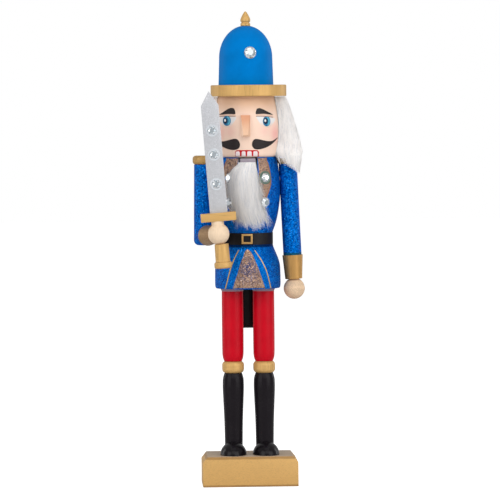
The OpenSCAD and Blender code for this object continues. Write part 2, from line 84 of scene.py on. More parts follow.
def make_camera():
    """A long lens from a little above, turned and rolled slightly, as in the photo."""
    right = Vector((math.cos(VIEW_AZIMUTH), math.sin(VIEW_AZIMUTH), 0))
    back = Vector((math.sin(VIEW_AZIMUTH), -math.cos(VIEW_AZIMUTH), 0))
    aim = Vector((0, 0, AIM_HEIGHT)) + right * AIM_SIDE
    place = right * AIM_SIDE + back * VIEW_DISTANCE + Vector((0, 0, VIEW_HEIGHT))
    data = bpy.data.cameras.new("camera")
    data.sensor_width = SENSOR
    data.lens = SENSOR * (place - aim).length / FRAME_WIDTH
    data.clip_start, data.clip_end = 0.05, 50
    camera = bpy.data.objects.new("camera", data)
    bpy.context.scene.collection.objects.link(camera)
    look = (aim - place).to_track_quat("-Z", "Y")
    camera.rotation_mode = "QUATERNION"
    camera.rotation_quaternion = look @ Matrix.Rotation(-ROLL, 4, "Z").to_quaternion()
    camera.location = place
    bpy.context.scene.camera = camera


def softbox(name, place, width, height, watts):
    """A rectangular area light that faces the middle of the figure."""
    data = bpy.data.lights.new(name, "AREA")
    data.shape = "RECTANGLE"
    data.size, data.size_y = width, height
    data.energy = watts
    lamp = bpy.data.objects.new(name, data)
    lamp.location = place
    lamp.rotation_mode = "QUATERNION"
    lamp.rotation_quaternion = (LIGHT_AIM - Vector(place)).to_track_quat("-Z", "Y")
    bpy.context.scene.collection.objects.link(lamp)


def make_studio():
    """Soft boxes all round, a white floor, and a world that shows white but lights less."""
    scene = bpy.context.scene
    scene.view_settings.view_transform = "Standard"
    world = bpy.data.worlds.new("studio")
    scene.world = world
    world.use_nodes = True
    sky = world.node_tree.nodes["Background"]
    sky.inputs["Color"].default_value = (1, 1, 1, 1)
    path = world.node_tree.nodes.new("ShaderNodeLightPath")
    seen = world.node_tree.nodes.new("ShaderNodeMapRange")
    seen.inputs["To Min"].default_value = WORLD_LIGHT
    world.node_tree.links.new(path.outputs["Is Camera Ray"], seen.inputs["Value"])
    world.node_tree.links.new(seen.outputs["Result"], sky.inputs["Strength"])
    softbox("right", (1.25, -1.2, 0.6), 1.3, 1.5, 15)
    softbox("left", (-1.3, -1.1, 0.6), 1.3, 1.5, 12.6)
    softbox("front", (0.2, -2.0, 1.5), 2.0, 1.5, 14.8)
    softbox("top", (0, -0.2, 1.7), 1.2, 1.2, 3)
    softbox("edge_right", (1.3, 0.8, 0.35), 0.35, 1.2, 3)
    softbox("edge_left", (-1.3, 0.8, 0.35), 0.35, 1.2, 3)
    mesh = bpy.data.meshes.new("floor")
    corners = [(x * FLOOR_HALF, y * FLOOR_HALF, 0) for x, y in ((-1, -1), (1, -1), (1, 1), (-1, 1))]
    mesh.from_pydata(corners, [], [(0, 1, 2, 3)])
    floor = bpy.data.objects.new("floor", mesh)
    scene.collection.objects.link(floor)
    floor.location.z = -FLOOR_DROP
    floor.data.materials.append(floor_material())


# ---------------------------------------------------------------- materials

def linear(*srgb):
    """A colour given as 0 to 255 sRGB values, as linear RGBA."""
    done = []
    for v in srgb:
        v /= 255
        done.append(v / 12.92 if v <= 0.04045 else ((v + 0.055) / 1.055) ** 2.4)
    return (*done, 1.0)


class Surface:
    """A node material round a Principled shader, with short calls for the nodes that finishes share."""

    def __init__(self, name, roughness=0.5, specular=0.2, **sockets):
        self.mat = bpy.data.materials.new(name)
        self.mat.use_nodes = True
        self.tree = self.mat.node_tree
        self.shader = self.tree.nodes["Principled BSDF"]
        self.place = self.add("ShaderNodeTexCoord").outputs["Object"]
        self.shader.inputs["Roughness"].default_value = roughness
        self.shader.inputs["Specular IOR Level"].default_value = specular
        for socket, value in sockets.items():
            self.shader.inputs[socket.replace("_", " ")].default_value = value

    def add(self, kind, inputs=(), **settings):
        node = self.tree.nodes.new(kind)
        for key, value in settings.items():
            setattr(node, key, value)
        for key, value in dict(inputs).items():
            self.feed(node.inputs[key], value)
        return node

    def feed(self, socket, value):
        if isinstance(value, bpy.types.NodeSocket):
            self.tree.links.new(value, socket)
        else:
            socket.default_value = value

    def stretched(self, scale):
        """Object coordinates scaled by (x, y, z), to draw grain out along an axis."""
        return self.add("ShaderNodeMapping", {"Vector": self.place, "Scale": scale}).outputs["Vector"]

    def parts(self, vector=None):
        """The x, y and z of a vector, by default of the place on the object."""
        return self.add("ShaderNodeSeparateXYZ", {"Vector": vector or self.place}).outputs

    def facing(self):
        """The x, y and z of the surface's direction, in object space."""
        return self.parts(self.add("ShaderNodeTexCoord").outputs["Normal"])

    def step(self, value, low, high):
        """0 below low, 1 above high, and smooth between. low may be the larger."""
        node = self.add("ShaderNodeMapRange", {"Value": value, "From Min": low, "From Max": high},
                        interpolation_type="SMOOTHSTEP")
        return node.outputs["Result"]

    def noise(self, scale, detail=2.0, rough=0.5, vector=None, distortion=0.0):
        return self.add("ShaderNodeTexNoise", {
            "Vector": vector or self.place, "Scale": scale, "Detail": detail,
            "Roughness": rough, "Distortion": distortion}).outputs["Fac"]

    def cells(self, scale, output="Color"):
        return self.add("ShaderNodeTexVoronoi", {"Vector": self.place, "Scale": scale}).outputs[output]

    def channel(self, colour, index):
        """The red, green or blue of a colour, as one value for each flake or cell."""
        return self.add("ShaderNodeSeparateColor", {"Color": colour}).outputs[index]

    def away(self, place):
        """How far the surface is from a place."""
        return self.add("ShaderNodeVectorMath", {0: self.place, 1: tuple(place)},
                        operation="DISTANCE").outputs["Value"]

    def ramp(self, value, stops):
        node = self.add("ShaderNodeValToRGB", {"Fac": value})
        points = node.color_ramp.elements
        while len(points) < len(stops):
            points.new(0.5)
        for point, (at, colour) in zip(points, stops):
            point.position = at
            point.color = colour if isinstance(colour, tuple) else (colour, colour, colour, 1)
        return node.outputs["Color"]

    def tones(self, value, colour, *stops):
        """A ramp through shades of one colour, each stop a place and a brightness."""
        return self.ramp(value, [(at, shade(colour, factor)) for at, factor in stops])

    def veil(self, base, colour, value, *stops):
        """Base with a colour laid over it, as strongly as a ramp of value says."""
        return self.mix(self.ramp(value, stops), base, colour)

    def mix(self, factor, a, b):
        node = self.add("ShaderNodeMix", data_type="RGBA")
        a, b = ((v, v, v, 1.0) if isinstance(v, float) else v for v in (a, b))
        for socket, value in zip((node.inputs[0], node.inputs[6], node.inputs[7]), (factor, a, b)):
            self.feed(socket, value)
        return node.outputs[2]

    def math(self, operation, a, b=0.0):
        return self.add("ShaderNodeMath", {0: a, 1: b}, operation=operation).outputs["Value"]

    def bump(self, height, strength, depth):
        self.feed(self.shader.inputs["Normal"], self.add("ShaderNodeBump", {
            "Height": height, "Strength": strength, "Distance": depth}).outputs["Normal"])

    def colour(self, value):
        self.feed(self.shader.inputs["Base Color"], value)

    def rough(self, value):
        self.feed(self.shader.inputs["Roughness"], value)


def shade(colour, factor):
    """A colour made darker or lighter by a factor."""
    return (*(min(1.0, c * factor) for c in colour[:3]), 1.0)


def floor_material():
    """Matt white that glows a little towards the camera, so that only the contact shadow shows."""
    s = Surface("studio_floor", 0.9, Emission_Color=(1, 1, 1, 1))
    path = s.add("ShaderNodeLightPath")
    s.feed(s.shader.inputs["Emission Strength"], s.math("MULTIPLY", path.outputs["Is Camera Ray"], 0.75))
    s.colour(s.ramp(s.noise(3.0, 2.0), [(0.3, (0.68, 0.68, 0.68, 1)), (0.7, (0.7, 0.7, 0.7, 1))]))
    return s.mat


def paint(name, colour, roughness=0.4, tint=None, **sockets):
    """Brushed or sprayed paint over wood: faint blotches, brush marks and a little orange peel."""
    s = Surface(name, roughness, **sockets)
    blotches = s.noise(90, 3.0)
    base = s.tones(blotches, colour, (0.3, 0.93), (0.5, 1), (0.7, 1.07))
    s.colour(tint(s, base) if tint else base)
    s.rough(s.ramp(blotches, [(0.3, roughness - 0.05), (0.7, roughness + 0.06)]))
    s.bump(s.mix(0.5, s.noise(1500, 2.0, 0.6), s.noise(260, 2.0)), 0.25, 0.00008)
    return s.mat


def gold_wood(name, grain, tone, metal_part=0.3):
    """Gold paint thin enough for the wood's grain to show as fine darker lines along one axis."""
    gold = linear(*tone)
    s = Surface(name, 0.42, 0.3, Metallic=metal_part)
    lines = s.noise(900, 3.0, 0.62, s.stretched(tuple(0.06 if g else 1.0 for g in grain)), 0.3)
    broad = s.noise(180, 2.0, 0.5, s.stretched(tuple(0.15 if g else 1.0 for g in grain)))
    blotches = s.noise(70, 3.0)
    base = s.tones(lines, gold, (0.28, 0.72), (0.44, 0.95), (0.62, 1), (0.8, 1.12))
    base = s.veil(base, shade(gold, 0.8), broad, (0.35, 0.0), (0.75, 0.3))
    s.colour(s.veil(base, shade(gold, 1.12), blotches, (0.45, 0.0), (0.75, 0.35)))
    s.rough(s.ramp(lines, [(0.3, 0.55), (0.7, 0.36)]))
    s.bump(s.mix(0.35, lines, s.noise(1700, 2.0)), 0.4, 0.0001)
    return s.mat


def speckled_gold(name, tone, pale, top):
    """Gold sprayed over sanded wood: fine speckle, brown painted shade along its top and bottom edges, and a
    paler painted sheen on faces that look up.
    """
    gold = linear(*tone)
    s = Surface(name, 0.42, 0.25, Metallic=0.2)
    grain = s.noise(2300, 3.0, 0.7, s.stretched((0.35, 1, 1)))
    clouds = s.noise(60, 2.0)
    base = s.tones(grain, gold, (0.3, 0.74), (0.47, 0.97), (0.6, 1), (0.75, 1.14))
    base = s.veil(base, shade(gold, 0.88), clouds, (0.4, 0.0), (0.75, 0.25))
    # Painted shade: brown along the bottom and the top edge, where the rounded corners turn away from the
    # light.
    edge_shade_height = s.math("ADD", s.parts()[2], s.ramp(clouds, [(0.35, 0.0), (0.7, 0.5 * MM)]))
    edges = s.math("MAXIMUM", s.step(edge_shade_height, 2.2 * MM, 1.2 * MM),
                   s.step(edge_shade_height, top - 2.4 * MM, top - 1.4 * MM))
    base = s.mix(s.math("MULTIPLY", edges, 0.62), base, linear(128, 92, 52))
    # Painted sheen: faces that look up go over to a paler grey-tan, standing in for the gold reflecting the
    # light from above.
    away = s.step(s.facing()[2], 0.55, 0.85)
    s.colour(s.mix(s.math("MULTIPLY", away, pale), base, linear(186, 168, 148)))
    s.rough(s.ramp(grain, [(0.3, 0.54), (0.7, 0.36)]))
    s.bump(grain, 0.35, 0.0001)
    return s.mat


def in_slot(s):
    """1 on the walls and floor of the slot that the lever swings in, and 0 elsewhere."""
    across, back, _ = s.parts()
    side, rear, up = s.facing()
    wall = s.math("GREATER_THAN", s.math("ABSOLUTE", side), 0.85)
    wall = s.math("MAXIMUM", wall, s.math("GREATER_THAN", up, 0.9))
    rear = s.math("MULTIPLY", s.math("GREATER_THAN", rear, 0.9), s.math("LESS_THAN", back, SLOT_REAR))
    near = s.math("LESS_THAN", s.math("ABSOLUTE", across), SLOT_HALF + SLOT_MARGIN)
    return s.math("MULTIPLY", s.math("MAXIMUM", wall, rear), near)


def glitter(name, dark, middle, light, spark, flake=2100.0, tint=None, slot=False):
    """Fine glitter in clear glue: each flake has its own brightness and its own tilt.

    tint may change the colour, and slot paints the lever's slot black."""
    s = Surface(name, 0.38, 0.15, Metallic=0.35, Specular_Tint=shade(light, 1.6))
    flakes = s.cells(flake)
    value = s.channel(flakes, 0)
    big = s.channel(s.cells(flake * 0.45), 1)
    base = s.ramp(value, [(0.0, dark), (0.3, middle), (0.72, middle), (0.9, light), (1.0, spark)])
    base = s.veil(base, light, big, (0.7, 0.0), (0.88, 0.6))
    base = s.veil(base, dark, big, (0.05, 0.7), (0.24, 0.0))
    base = s.veil(base, dark, s.noise(60, 2.0), (0.35, 0.0), (0.7, 0.2))
    if tint:
        base = tint(s, base)
    metal_part = s.ramp(value, [(0.0, 0.2), (1.0, 0.55)])
    if slot:
        inside = in_slot(s)
        base = s.mix(inside, base, linear(22, 19, 24))
        metal_part = s.mix(inside, metal_part, 0.0)
    s.colour(base)
    s.feed(s.shader.inputs["Metallic"], metal_part)
    s.rough(s.ramp(value, [(0.0, 0.5), (1.0, 0.26)]))
    normal = s.add("ShaderNodeNewGeometry").outputs["Normal"]
    tilt = s.add("ShaderNodeVectorMath", {0: flakes, 1: (0.5, 0.5, 0.5)}, operation="SUBTRACT")
    lean = s.add("ShaderNodeVectorMath", {0: tilt.outputs["Vector"], 1: (0.8, 0.8, 0.8), 2: normal},
                 operation="MULTIPLY_ADD")
    unit = s.add("ShaderNodeVectorMath", {0: lean.outputs["Vector"]}, operation="NORMALIZE")
    s.feed(s.shader.inputs["Normal"], unit.outputs["Vector"])
    return s.mat


def bare_wood(name, tone, grain=(0, 0, 1), strength=1.0, arcs=False):
    """Unpainted pale wood with growth rings drawn out along the grain."""
    wood = linear(*tone)
    s = Surface(name, 0.55, 0.15)
    along = tuple(0.12 if g else 1.0 for g in grain)
    rings = s.noise(520, 3.0, 0.6, s.stretched(along), 0.8)
    if arcs:
        wave = s.add("ShaderNodeTexWave", {
            "Vector": s.stretched((0.35, 1, 1)), "Scale": 60.0, "Distortion": 9.0, "Detail": 2.0,
            "Detail Scale": 40.0}, wave_type="RINGS", rings_direction="X").outputs["Fac"]
        rings = s.mix(0.48, rings, wave)
    pores = s.noise(2600, 2.0, 0.6, s.stretched(along))
    base = s.tones(rings, wood, (0.3, 0.78), (0.5, 1), (0.72, 1.08))
    base = s.veil(base, shade(wood, 0.62), pores, (0.3, 0.5), (0.45, 0.0))
    s.colour(s.mix(strength, wood, base))
    s.rough(s.ramp(rings, [(0.3, 0.62), (0.7, 0.48)]))
    s.bump(s.mix(0.5, rings, pores), 0.3 * strength, 0.00012)
    return s.mat


def skin(name, low_tone, high_tone, change, spots):
    """Peach paint with painted shade, deeper towards the hat where the brim's shadow falls, and airbrushed
    spots that fade out around their middles.
    """
    s = Surface(name, 0.46, 0.25, Coat_Weight=0.05, Coat_Roughness=0.4)
    colour = s.mix(s.step(s.parts()[2], *change), linear(*low_tone), linear(*high_tone))
    for spot, radius, strength, tone in spots:
        fade = s.math("MULTIPLY", s.step(s.away(spot), radius, 0.0), strength)
        colour = s.mix(fade, colour, linear(*tone))
    blotches = s.noise(70, 3.0)
    s.colour(s.veil(colour, linear(*high_tone), blotches, (0.35, 0.0), (0.7, 0.12)))
    s.rough(s.ramp(blotches, [(0.3, 0.42), (0.7, 0.52)]))
    s.bump(s.mix(0.5, s.noise(1400, 2.0), s.noise(300, 2.0)), 0.2, 0.00008)
    return s.mat


def nose_skin(low, high):
    """The same peach as the face, sprayed deeper on the bridge, and painted lighter on the nose's right side,
    painted light that evens out the shade there.
    """
    s = Surface("nose_skin", 0.48, 0.2)
    deep = linear(212, 152, 118)
    tone = s.mix(s.step(s.parts()[2], low + 3 * MM, high - 1 * MM), linear(222, 182, 152), deep)
    # Painted light: faces turned to the nose's right side are lightened.
    tone = s.mix(s.step(s.facing()[0], -0.2, -0.75), tone, linear(246, 210, 184))
    s.colour(s.veil(tone, deep, s.noise(70, 3.0), (0.35, 0.0), (0.7, 0.12)))
    s.bump(s.mix(0.5, s.noise(1400, 2.0), s.noise(300, 2.0)), 0.2, 0.00008)
    return s.mat


def fur_material(name, tone):
    """Dull white hair with faint streaks down its length."""
    white = linear(*tone)
    s = Surface(name, 0.8, 0.05)
    streaks = s.noise(420, 3.0, 0.6, s.stretched((1, 1, 0.12)))
    s.colour(s.tones(streaks, white, (0.3, 0.9), (0.55, 1), (0.75, 1.04)))
    s.rough(s.ramp(streaks, [(0.3, 0.9), (0.7, 0.7)]))
    s.bump(streaks, 0.3, 0.0002)
    return s.mat


def crystal(name):
    """Foil-backed rhinestone: each hard facet is given its own brightness, a painted reflection of bright and
    dark surroundings.
    """
    s = Surface(name, 0.06, 0.5, Metallic=0.6, Coat_Weight=0.5, Coat_Roughness=0.02)
    facet = s.add("ShaderNodeTexWhiteNoise", {"Vector": s.add("ShaderNodeVectorMath", {
        0: s.add("ShaderNodeTexCoord").outputs["Normal"], 1: (0.04, 0.04, 0.04)},
        operation="SNAP").outputs["Vector"]}).outputs["Value"]
    # Painted reflection: dark, grey and white facets in the colour itself.
    base = s.ramp(facet, [
        (0.0, (0.2, 0.25, 0.28, 1)), (0.3, (0.55, 0.6, 0.64, 1)), (0.55, (0.9, 0.93, 0.95, 1)),
        (1.0, (1, 1, 1, 1))])
    s.colour(s.veil(base, (0.6, 0.68, 0.74, 1), s.noise(500, 2.0), (0.4, 0.15), (0.6, 0.0)))
    return s.mat


def leather(name, tone):
    """Finely pebbled leather cloth."""
    hide = linear(*tone)
    s = Surface(name, 0.38)
    pebbles = s.cells(1300, "Distance")
    s.colour(s.tones(s.noise(120, 3.0), hide, (0.3, 0.7), (0.7, 1.5)))
    s.rough(s.ramp(pebbles, [(0.0, 0.3), (0.6, 0.5)]))
    s.bump(pebbles, 0.35, 0.0001)
    return s.mat


def metal(name, tone, roughness):
    """Plain metal with slightly uneven colour."""
    s = Surface(name, roughness, Metallic=1.0)
    s.colour(s.tones(s.noise(200, 3.0), linear(*tone), (0.3, 0.85), (0.7, 1.1)))
    s.bump(s.noise(1500, 2.0), 0.15, 0.00005)
    return s.mat


def silver_sparkle(name):
    """Pale grey paint with very fine glitter."""
    grey = linear(190, 191, 195)
    s = Surface(name, 0.42, Metallic=0.25)
    value = s.channel(s.cells(2600), 0)
    base = s.tones(value, grey, (0.0, 0.82), (0.3, 1), (0.85, 1), (1.0, 1.35))
    s.colour(s.veil(base, shade(grey, 0.9), s.noise(90, 2.0), (0.4, 0.0), (0.75, 0.4)))
    s.rough(s.ramp(value, [(0.0, 0.5), (1.0, 0.28)]))
    s.bump(s.mix(0.6, value, s.noise(800, 2.0)), 0.25, 0.00008)
    return s.mat


def finish_node(name, material):
    """Gives a carried-over CAD node its material."""
    for slot in NODES[name].material_slots:
        slot.material = material


def by_height(start, end, colour, strength=1.0):
    """A tint that goes over to a colour between two heights."""
    def tint(s, base):
        fade = s.step(s.parts()[2], start, end)
        return s.mix(s.math("MULTIPLY", fade, strength), base, colour)
    return tint


def grey_rim(height, colour):
    """A tint that turns to a colour above a height, with a ragged edge."""
    def tint(s, base):
        edge = s.math("ADD", s.parts()[2], s.math("MULTIPLY", s.noise(400), 0.6 * MM))
        return s.mix(s.step(edge, height, height + 0.4 * MM), base, colour)
    return tint


def dark_middle(place, radius, colour):
    """A tint for glitter: dark flakes gather about a place."""
    def tint(s, base):
        near = s.step(s.away(place), radius, 0.0)
        flakes = s.step(s.channel(s.cells(1300), 2), 0.35, 0.7)
        return s.mix(s.math("MULTIPLY", near, flakes), base, colour)
    return tint


# ---------------------------------------------------------------- mesh helpers

def to_mesh(name, bm):
    """The mesh that a bmesh holds. The bmesh is freed."""
    mesh = bpy.data.meshes.new(name)
    bm.to_mesh(mesh)
    bm.free()
    return mesh


def new_object(name, mesh, materials, body, smooth_angle=35):
    """A mesh as an object that rides a body, with its materials and its smooth shading."""
    ob = bpy.data.objects.new(name, mesh)
    bpy.context.scene.collection.objects.link(ob)
    for m in materials:
        mesh.materials.append(m)
    if smooth_angle is not None:
        mesh.shade_smooth()
        mesh.set_sharp_from_angle(angle=math.radians(smooth_angle))
    if body:
        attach(ob, body)
    return ob


def curve_points(points, steps=6, closed=False):
    """A smooth curve through a list of points."""
    p = np.array(points, float)
    n = len(p)
    spans = n if closed else n - 1
    done = []
    for i in range(spans):
        a, b, c, d = (
            (p[(i - 1) % n], p[i], p[(i + 1) % n], p[(i + 2) % n]) if closed
            else (p[max(i - 1, 0)], p[i], p[i + 1], p[min(i + 2, n - 1)])
        )
        for k in range(steps):
            t = k / steps
            done.append(0.5 * (2 * b + (c - a) * t + (2 * a - 5 * b + 4 * c - d) * t ** 2
                               + (3 * b - a - 3 * c + d) * t ** 3))
    if not closed:
        done.append(p[-1])
    return np.array(done)


def turned_radius(node):
    """The outer radius of an upright turned CAD node at any height, felt from outside at its front sides."""
    mesh = NODES[node].data
    tree = BVHTree.FromPolygons([v.co for v in mesh.vertices], [tuple(f.vertices) for f in mesh.polygons])
    lo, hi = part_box(node)
    heights = np.linspace(lo.z + 1e-5, hi.z - 1e-5, 160)
    radii = []
    for z in heights:
        best = 0
        for a in (-128, -97, -52):
            way = Vector((math.cos(math.radians(a)), math.sin(math.radians(a)), 0))
            hit = tree.ray_cast(way + Vector((0, 0, z)), -way)[0]
            best = max(best, hit.xy.length if hit else 0)
        radii.append(best)
    return lambda z: np.interp(z, heights, radii)


def softened(name, node, width, materials, body, pick=None, paint_line=None):
    """A copy of a sawn CAD node with its sharp edges rounded, as sanding leaves them.

    paint_line is a height at which the paint may change, and pick chooses each face's material."""
    bm = bmesh.new()
    bm.from_mesh(NODES[node].data)
    bmesh.ops.remove_doubles(bm, verts=bm.verts, dist=1e-6)
    bmesh.ops.dissolve_limit(bm, angle_limit=math.radians(1.5), verts=bm.verts, edges=bm.edges)
    if paint_line:
        everything = bm.verts[:] + bm.edges[:] + bm.faces[:]
        bmesh.ops.bisect_plane(bm, geom=everything, plane_co=(0, 0, paint_line), plane_no=(0, 0, 1))
    sharp = [e for e in bm.edges if len(e.link_faces) == 2
             and e.calc_face_angle(0) > math.radians(30)]
    bmesh.ops.bevel(bm, geom=sharp, offset=width, segments=3, profile=0.5, affect="EDGES",
                    clamp_overlap=True)
    if pick:
        for f in bm.faces:
            f.material_index = pick(f.calc_center_median())
    ob = new_object(name, to_mesh(name, bm), materials, body)
    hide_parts(node)


def on_barrel(x, z, radius, lift):
    """Where a point seen at x from the front lies on a turned surface, lift above it."""
    r = radius(z)
    around = np.arcsin(np.clip(x / r, -0.999, 0.999))
    return np.stack([(r + lift) * np.sin(around), -(r + lift) * np.cos(around), z * np.ones_like(x)], -1)


def patch(name, outline, radius, lift, material, spacing=0.0006):
    """A layer of paint with a crisp raised edge. Its outline is seen from the front, in metres."""
    outline = np.asarray(outline, float)
    lo, hi = outline.min(0), outline.max(0)
    xs = np.arange(lo[0] + spacing / 2, hi[0], spacing)
    zs = np.arange(lo[1] + spacing / 2, hi[1], spacing)
    grid = np.stack(np.meshgrid(xs, zs), -1).reshape(-1, 2)
    nearest = np.min(np.linalg.norm(grid[:, None] - outline[None], axis=2), 1) if len(grid) else []
    grid = grid[nearest > spacing * 0.55] if len(grid) else grid
    n = len(outline)
    points = [Vector(p) for p in np.vstack([outline, grid])]
    verts, _, faces, _, _, _ = delaunay_2d_cdt(points, [], [list(range(n))], 1, 1e-9)
    flat = np.array([tuple(v) for v in verts])
    edge_count = {}
    for f in faces:
        for a, b in zip(f, f[1:] + f[:1]):
            key = (min(a, b), max(a, b))
            edge_count[key] = edge_count.get(key, 0) + 1
    rim = sorted({v for key, c in edge_count.items() if c == 1 for v in key})
    rise = np.full(len(flat), lift)
    rise[rim] = max(lift - 0.06 * MM, lift * 0.45)
    top = on_barrel(flat[:, 0], flat[:, 1], radius, rise)
    used = sorted({v for f in faces for v in f})
    index = {v: i for i, v in enumerate(used)}
    coords = [tuple(top[v]) for v in used]
    polygons = [tuple(index[v] for v in f) for f in faces]
    foot = on_barrel(flat[rim, 0], flat[rim, 1], radius, -0.2 * MM)
    feet = {v: len(coords) + i for i, v in enumerate(rim)}
    coords += [tuple(p) for p in foot]
    for f in faces:
        for a, b in zip(f, f[1:] + f[:1]):
            if edge_count[(min(a, b), max(a, b))] == 1:
                polygons.append((index[b], index[a], feet[a], feet[b]))
    mesh = bpy.data.meshes.new(name)
    mesh.from_pydata(coords, [], polygons)
    mesh.validate()
    bm = bmesh.new()
    bm.from_mesh(mesh)
    bmesh.ops.recalc_face_normals(bm, faces=bm.faces)
    if sum(f.calc_center_median().xy.dot(f.normal.xy) for f in bm.faces) < 0:
        bmesh.ops.reverse_faces(bm, faces=bm.faces)
    bm.to_mesh(mesh)
    bm.free()
    new_object(name, mesh, [material], FIGURE, smooth_angle=50)


def stripe_outline(path, width):
    """The outline of a line of the given width along a path."""
    path = np.asarray(path, float)
    along = np.gradient(path, axis=0)
    along /= np.linalg.norm(along, axis=1)[:, None]
    side = np.stack([-along[:, 1], along[:, 0]], 1) * width / 2
    return np.vstack([path + side, (path - side)[::-1]])


def ellipse(cx, cz, rx, rz, steps=28, start=0.0, end=360.0):
    """Points round an ellipse, or along a part of it."""
    a = np.radians(np.linspace(start, end, steps, endpoint=end - start < 360))
    return np.stack([cx + rx * np.cos(a), cz + rz * np.sin(a)], 1)


# ---------------------------------------------------------------- fur

STRAND_STEPS = 7


def ease(t):
    """0 below 0, 1 above 1, and smooth between."""
    t = np.clip(t, 0, 1)
    return t * t * (3 - 2 * t)


def unit(v):
    """Vectors made 1 long."""
    return v / (np.linalg.norm(v, axis=-1, keepdims=True) + 1e-12)


def shell_facing(shell, u, t, sign):
    """Which way a fur coat's surface shell(u, t) faces."""
    e = 2e-3
    return sign * unit(np.cross(shell(u + e, t) - shell(u - e, t), shell(u, t + e) - shell(u, t - e)))


def ribbon_mesh(name, points, facing, width, lean, shaded):
    """Thin tapering flat hairs along an array of paths, strand x step x (x, y, z).

    Each is turned about its own length by lean, and those picked by shaded take the second material. The
    shading follows the whole coat, as soft fur's does."""
    count, steps, _ = points.shape
    along = unit(np.gradient(points, axis=1))
    across = unit(np.cross(along, facing))
    lean = lean[:, None, None]
    side = across * np.cos(lean) + facing * np.sin(lean)
    t = np.linspace(0, 1, steps)
    taper = (np.minimum(1, 0.5 + 4 * t) * (1 - 0.82 * t ** 1.6))[None, :, None] * width[:, None, None] / 2
    verts = np.stack([points - side * taper, points + side * taper], 2).reshape(-1, 3)
    soft = unit(facing - across * np.sin(lean) * 0.35)
    normals = np.stack([soft, soft], 2).reshape(-1, 3)
    base = (np.arange(count)[:, None] * steps + np.arange(steps)[None]) * 2
    quads = np.stack([base[:, :-1], base[:, :-1] + 1, base[:, 1:] + 1, base[:, 1:]], -1).reshape(-1, 4)
    mesh = bpy.data.meshes.new(name)
    mesh.vertices.add(len(verts))
    mesh.vertices.foreach_set("co", verts.astype(np.float32).ravel())
    mesh.loops.add(quads.size)
    mesh.loops.foreach_set("vertex_index", quads.astype(np.int32).ravel())
    mesh.polygons.add(len(quads))
    mesh.polygons.foreach_set("loop_start", (np.arange(len(quads)) * 4).astype(np.int32))
    mesh.polygons.foreach_set("material_index", np.repeat(shaded, steps - 1).astype(np.int32))
    mesh.update(calc_edges=True)
    mesh.shade_smooth()
    mesh.normals_split_custom_set_from_vertices([tuple(n) for n in normals])
    return mesh


def mat_mesh(name, grid_out, grid_in):
    """A closed mat between an outer and an inner grid of points."""
    rows, cols, _ = grid_out.shape
    verts = np.concatenate([grid_out.reshape(-1, 3), grid_in.reshape(-1, 3)])
    n = rows * cols
    faces = []
    for r in range(rows - 1):
        for c in range(cols - 1):
            a, b, d, e = r * cols + c, r * cols + c + 1, (r + 1) * cols + c + 1, (r + 1) * cols + c
            faces.append((a, b, d, e))
            faces.append((n + e, n + d, n + b, n + a))
    for r in range(rows - 1):
        for c in (0, cols - 1):
            a, e = r * cols + c, (r + 1) * cols + c
            faces.append((a, e, n + e, n + a))
    for c in range(cols - 1):
        for r in (0, rows - 1):
            a, b = r * cols + c, r * cols + c + 1
            faces.append((b, a, n + a, n + b))
    bm = bmesh.new()
    vs = [bm.verts.new(v) for v in verts]
    for f in faces:
        bm.faces.new([vs[i] for i in f])
    bmesh.ops.recalc_face_normals(bm, faces=bm.faces)
    return to_mesh(name, bm)


# ---------------------------------------------------------------- colours and finishes

BLACK_GLOSS = paint("black_gloss", linear(20, 17, 20), 0.2, specular=0.16)
BLACK = paint("black_satin", linear(25, 21, 25), 0.24, specular=0.1)
DOME_BLUE = paint("blue_satin", linear(0, 113, 188), 0.5, specular=0.05, Specular_Tint=(0.2, 0.6, 1, 1))
MID_BLUE = linear(0, 92, 184)
BLUES = (linear(0, 38, 108), MID_BLUE, linear(0, 126, 224), linear(70, 165, 240))
BAND_BLUE = glitter("band_glitter", linear(0, 66, 150), linear(0, 100, 190),
                    linear(8, 124, 212), linear(80, 170, 235), 2400.0)
BLUE_GLITTER = glitter("blue_glitter", *BLUES, slot=True)
COPPERS = (linear(84, 70, 72), linear(162, 130, 110), linear(190, 156, 130), linear(196, 190, 200))
GOLD_X = gold_wood("gold_grain_x", (1, 0, 0), (206, 164, 100))
# 0.75 is how strongly the painted sheen pales the base's top.
GOLD_BASE = speckled_gold("gold_speckle", (208, 165, 101), 0.75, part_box("base")[1].z)
GOLD_Z = gold_wood("gold_grain_z", (0, 0, 1), (206, 164, 100))
# A darker, browner gold for the epaulettes: partly browner paint, partly painted shade.
BROWN_AND_SHADED_GOLD = gold_wood("gold_grain_brown_and_shaded", (1, 0, 0), (180, 142, 84))
GOLD_CUFF = gold_wood("gold_cuff", (0, 0, 1), (188, 144, 84), 0.6)
# A darker gold for the right cuff, painted shade from the hand and the arm.
SHADED_CUFF = gold_wood("shaded_gold_cuff", (0, 1, 0), (160, 126, 88), 0.6)
PIPING = paint("gold_piping", linear(196, 160, 84), 0.4, Metallic=0.3)
COPPER_LINE = paint("copper_line", linear(150, 112, 86), 0.45, Metallic=0.2)
PALE_WOOD = bare_wood("pale_wood", (228, 203, 174), strength=0.35)
GRAINED_WOOD = bare_wood("grained_wood", (222, 192, 160), (1, 0, 0), arcs=True)
DOWEL_WOOD = bare_wood("dowel_wood", (206, 176, 140))
SILVER = silver_sparkle("silver_sparkle")
CRYSTAL = crystal("foil_backed_crystal")
SETTING = metal("setting_metal", (92, 108, 98), 0.36)
CLEAR_RING = paint("clear_ring", linear(196, 200, 205), 0.2, specular=0.4)
BELT = leather("belt_vinyl", (20, 17, 19))
BRASS = metal("buckle_brass", (206, 162, 102), 0.35)
STEEL = metal("pin_steel", (170, 172, 176), 0.3)
FUR = fur_material("white_fur", (245, 242, 240))
# Painted shade: a greyer copy of the fur, given to some strands at random in place of the shade between
# hairs.
FUR_SHADE = fur_material("shaded_fur", (208, 211, 217))


# ---------------------------------------------------------------- wooden pieces

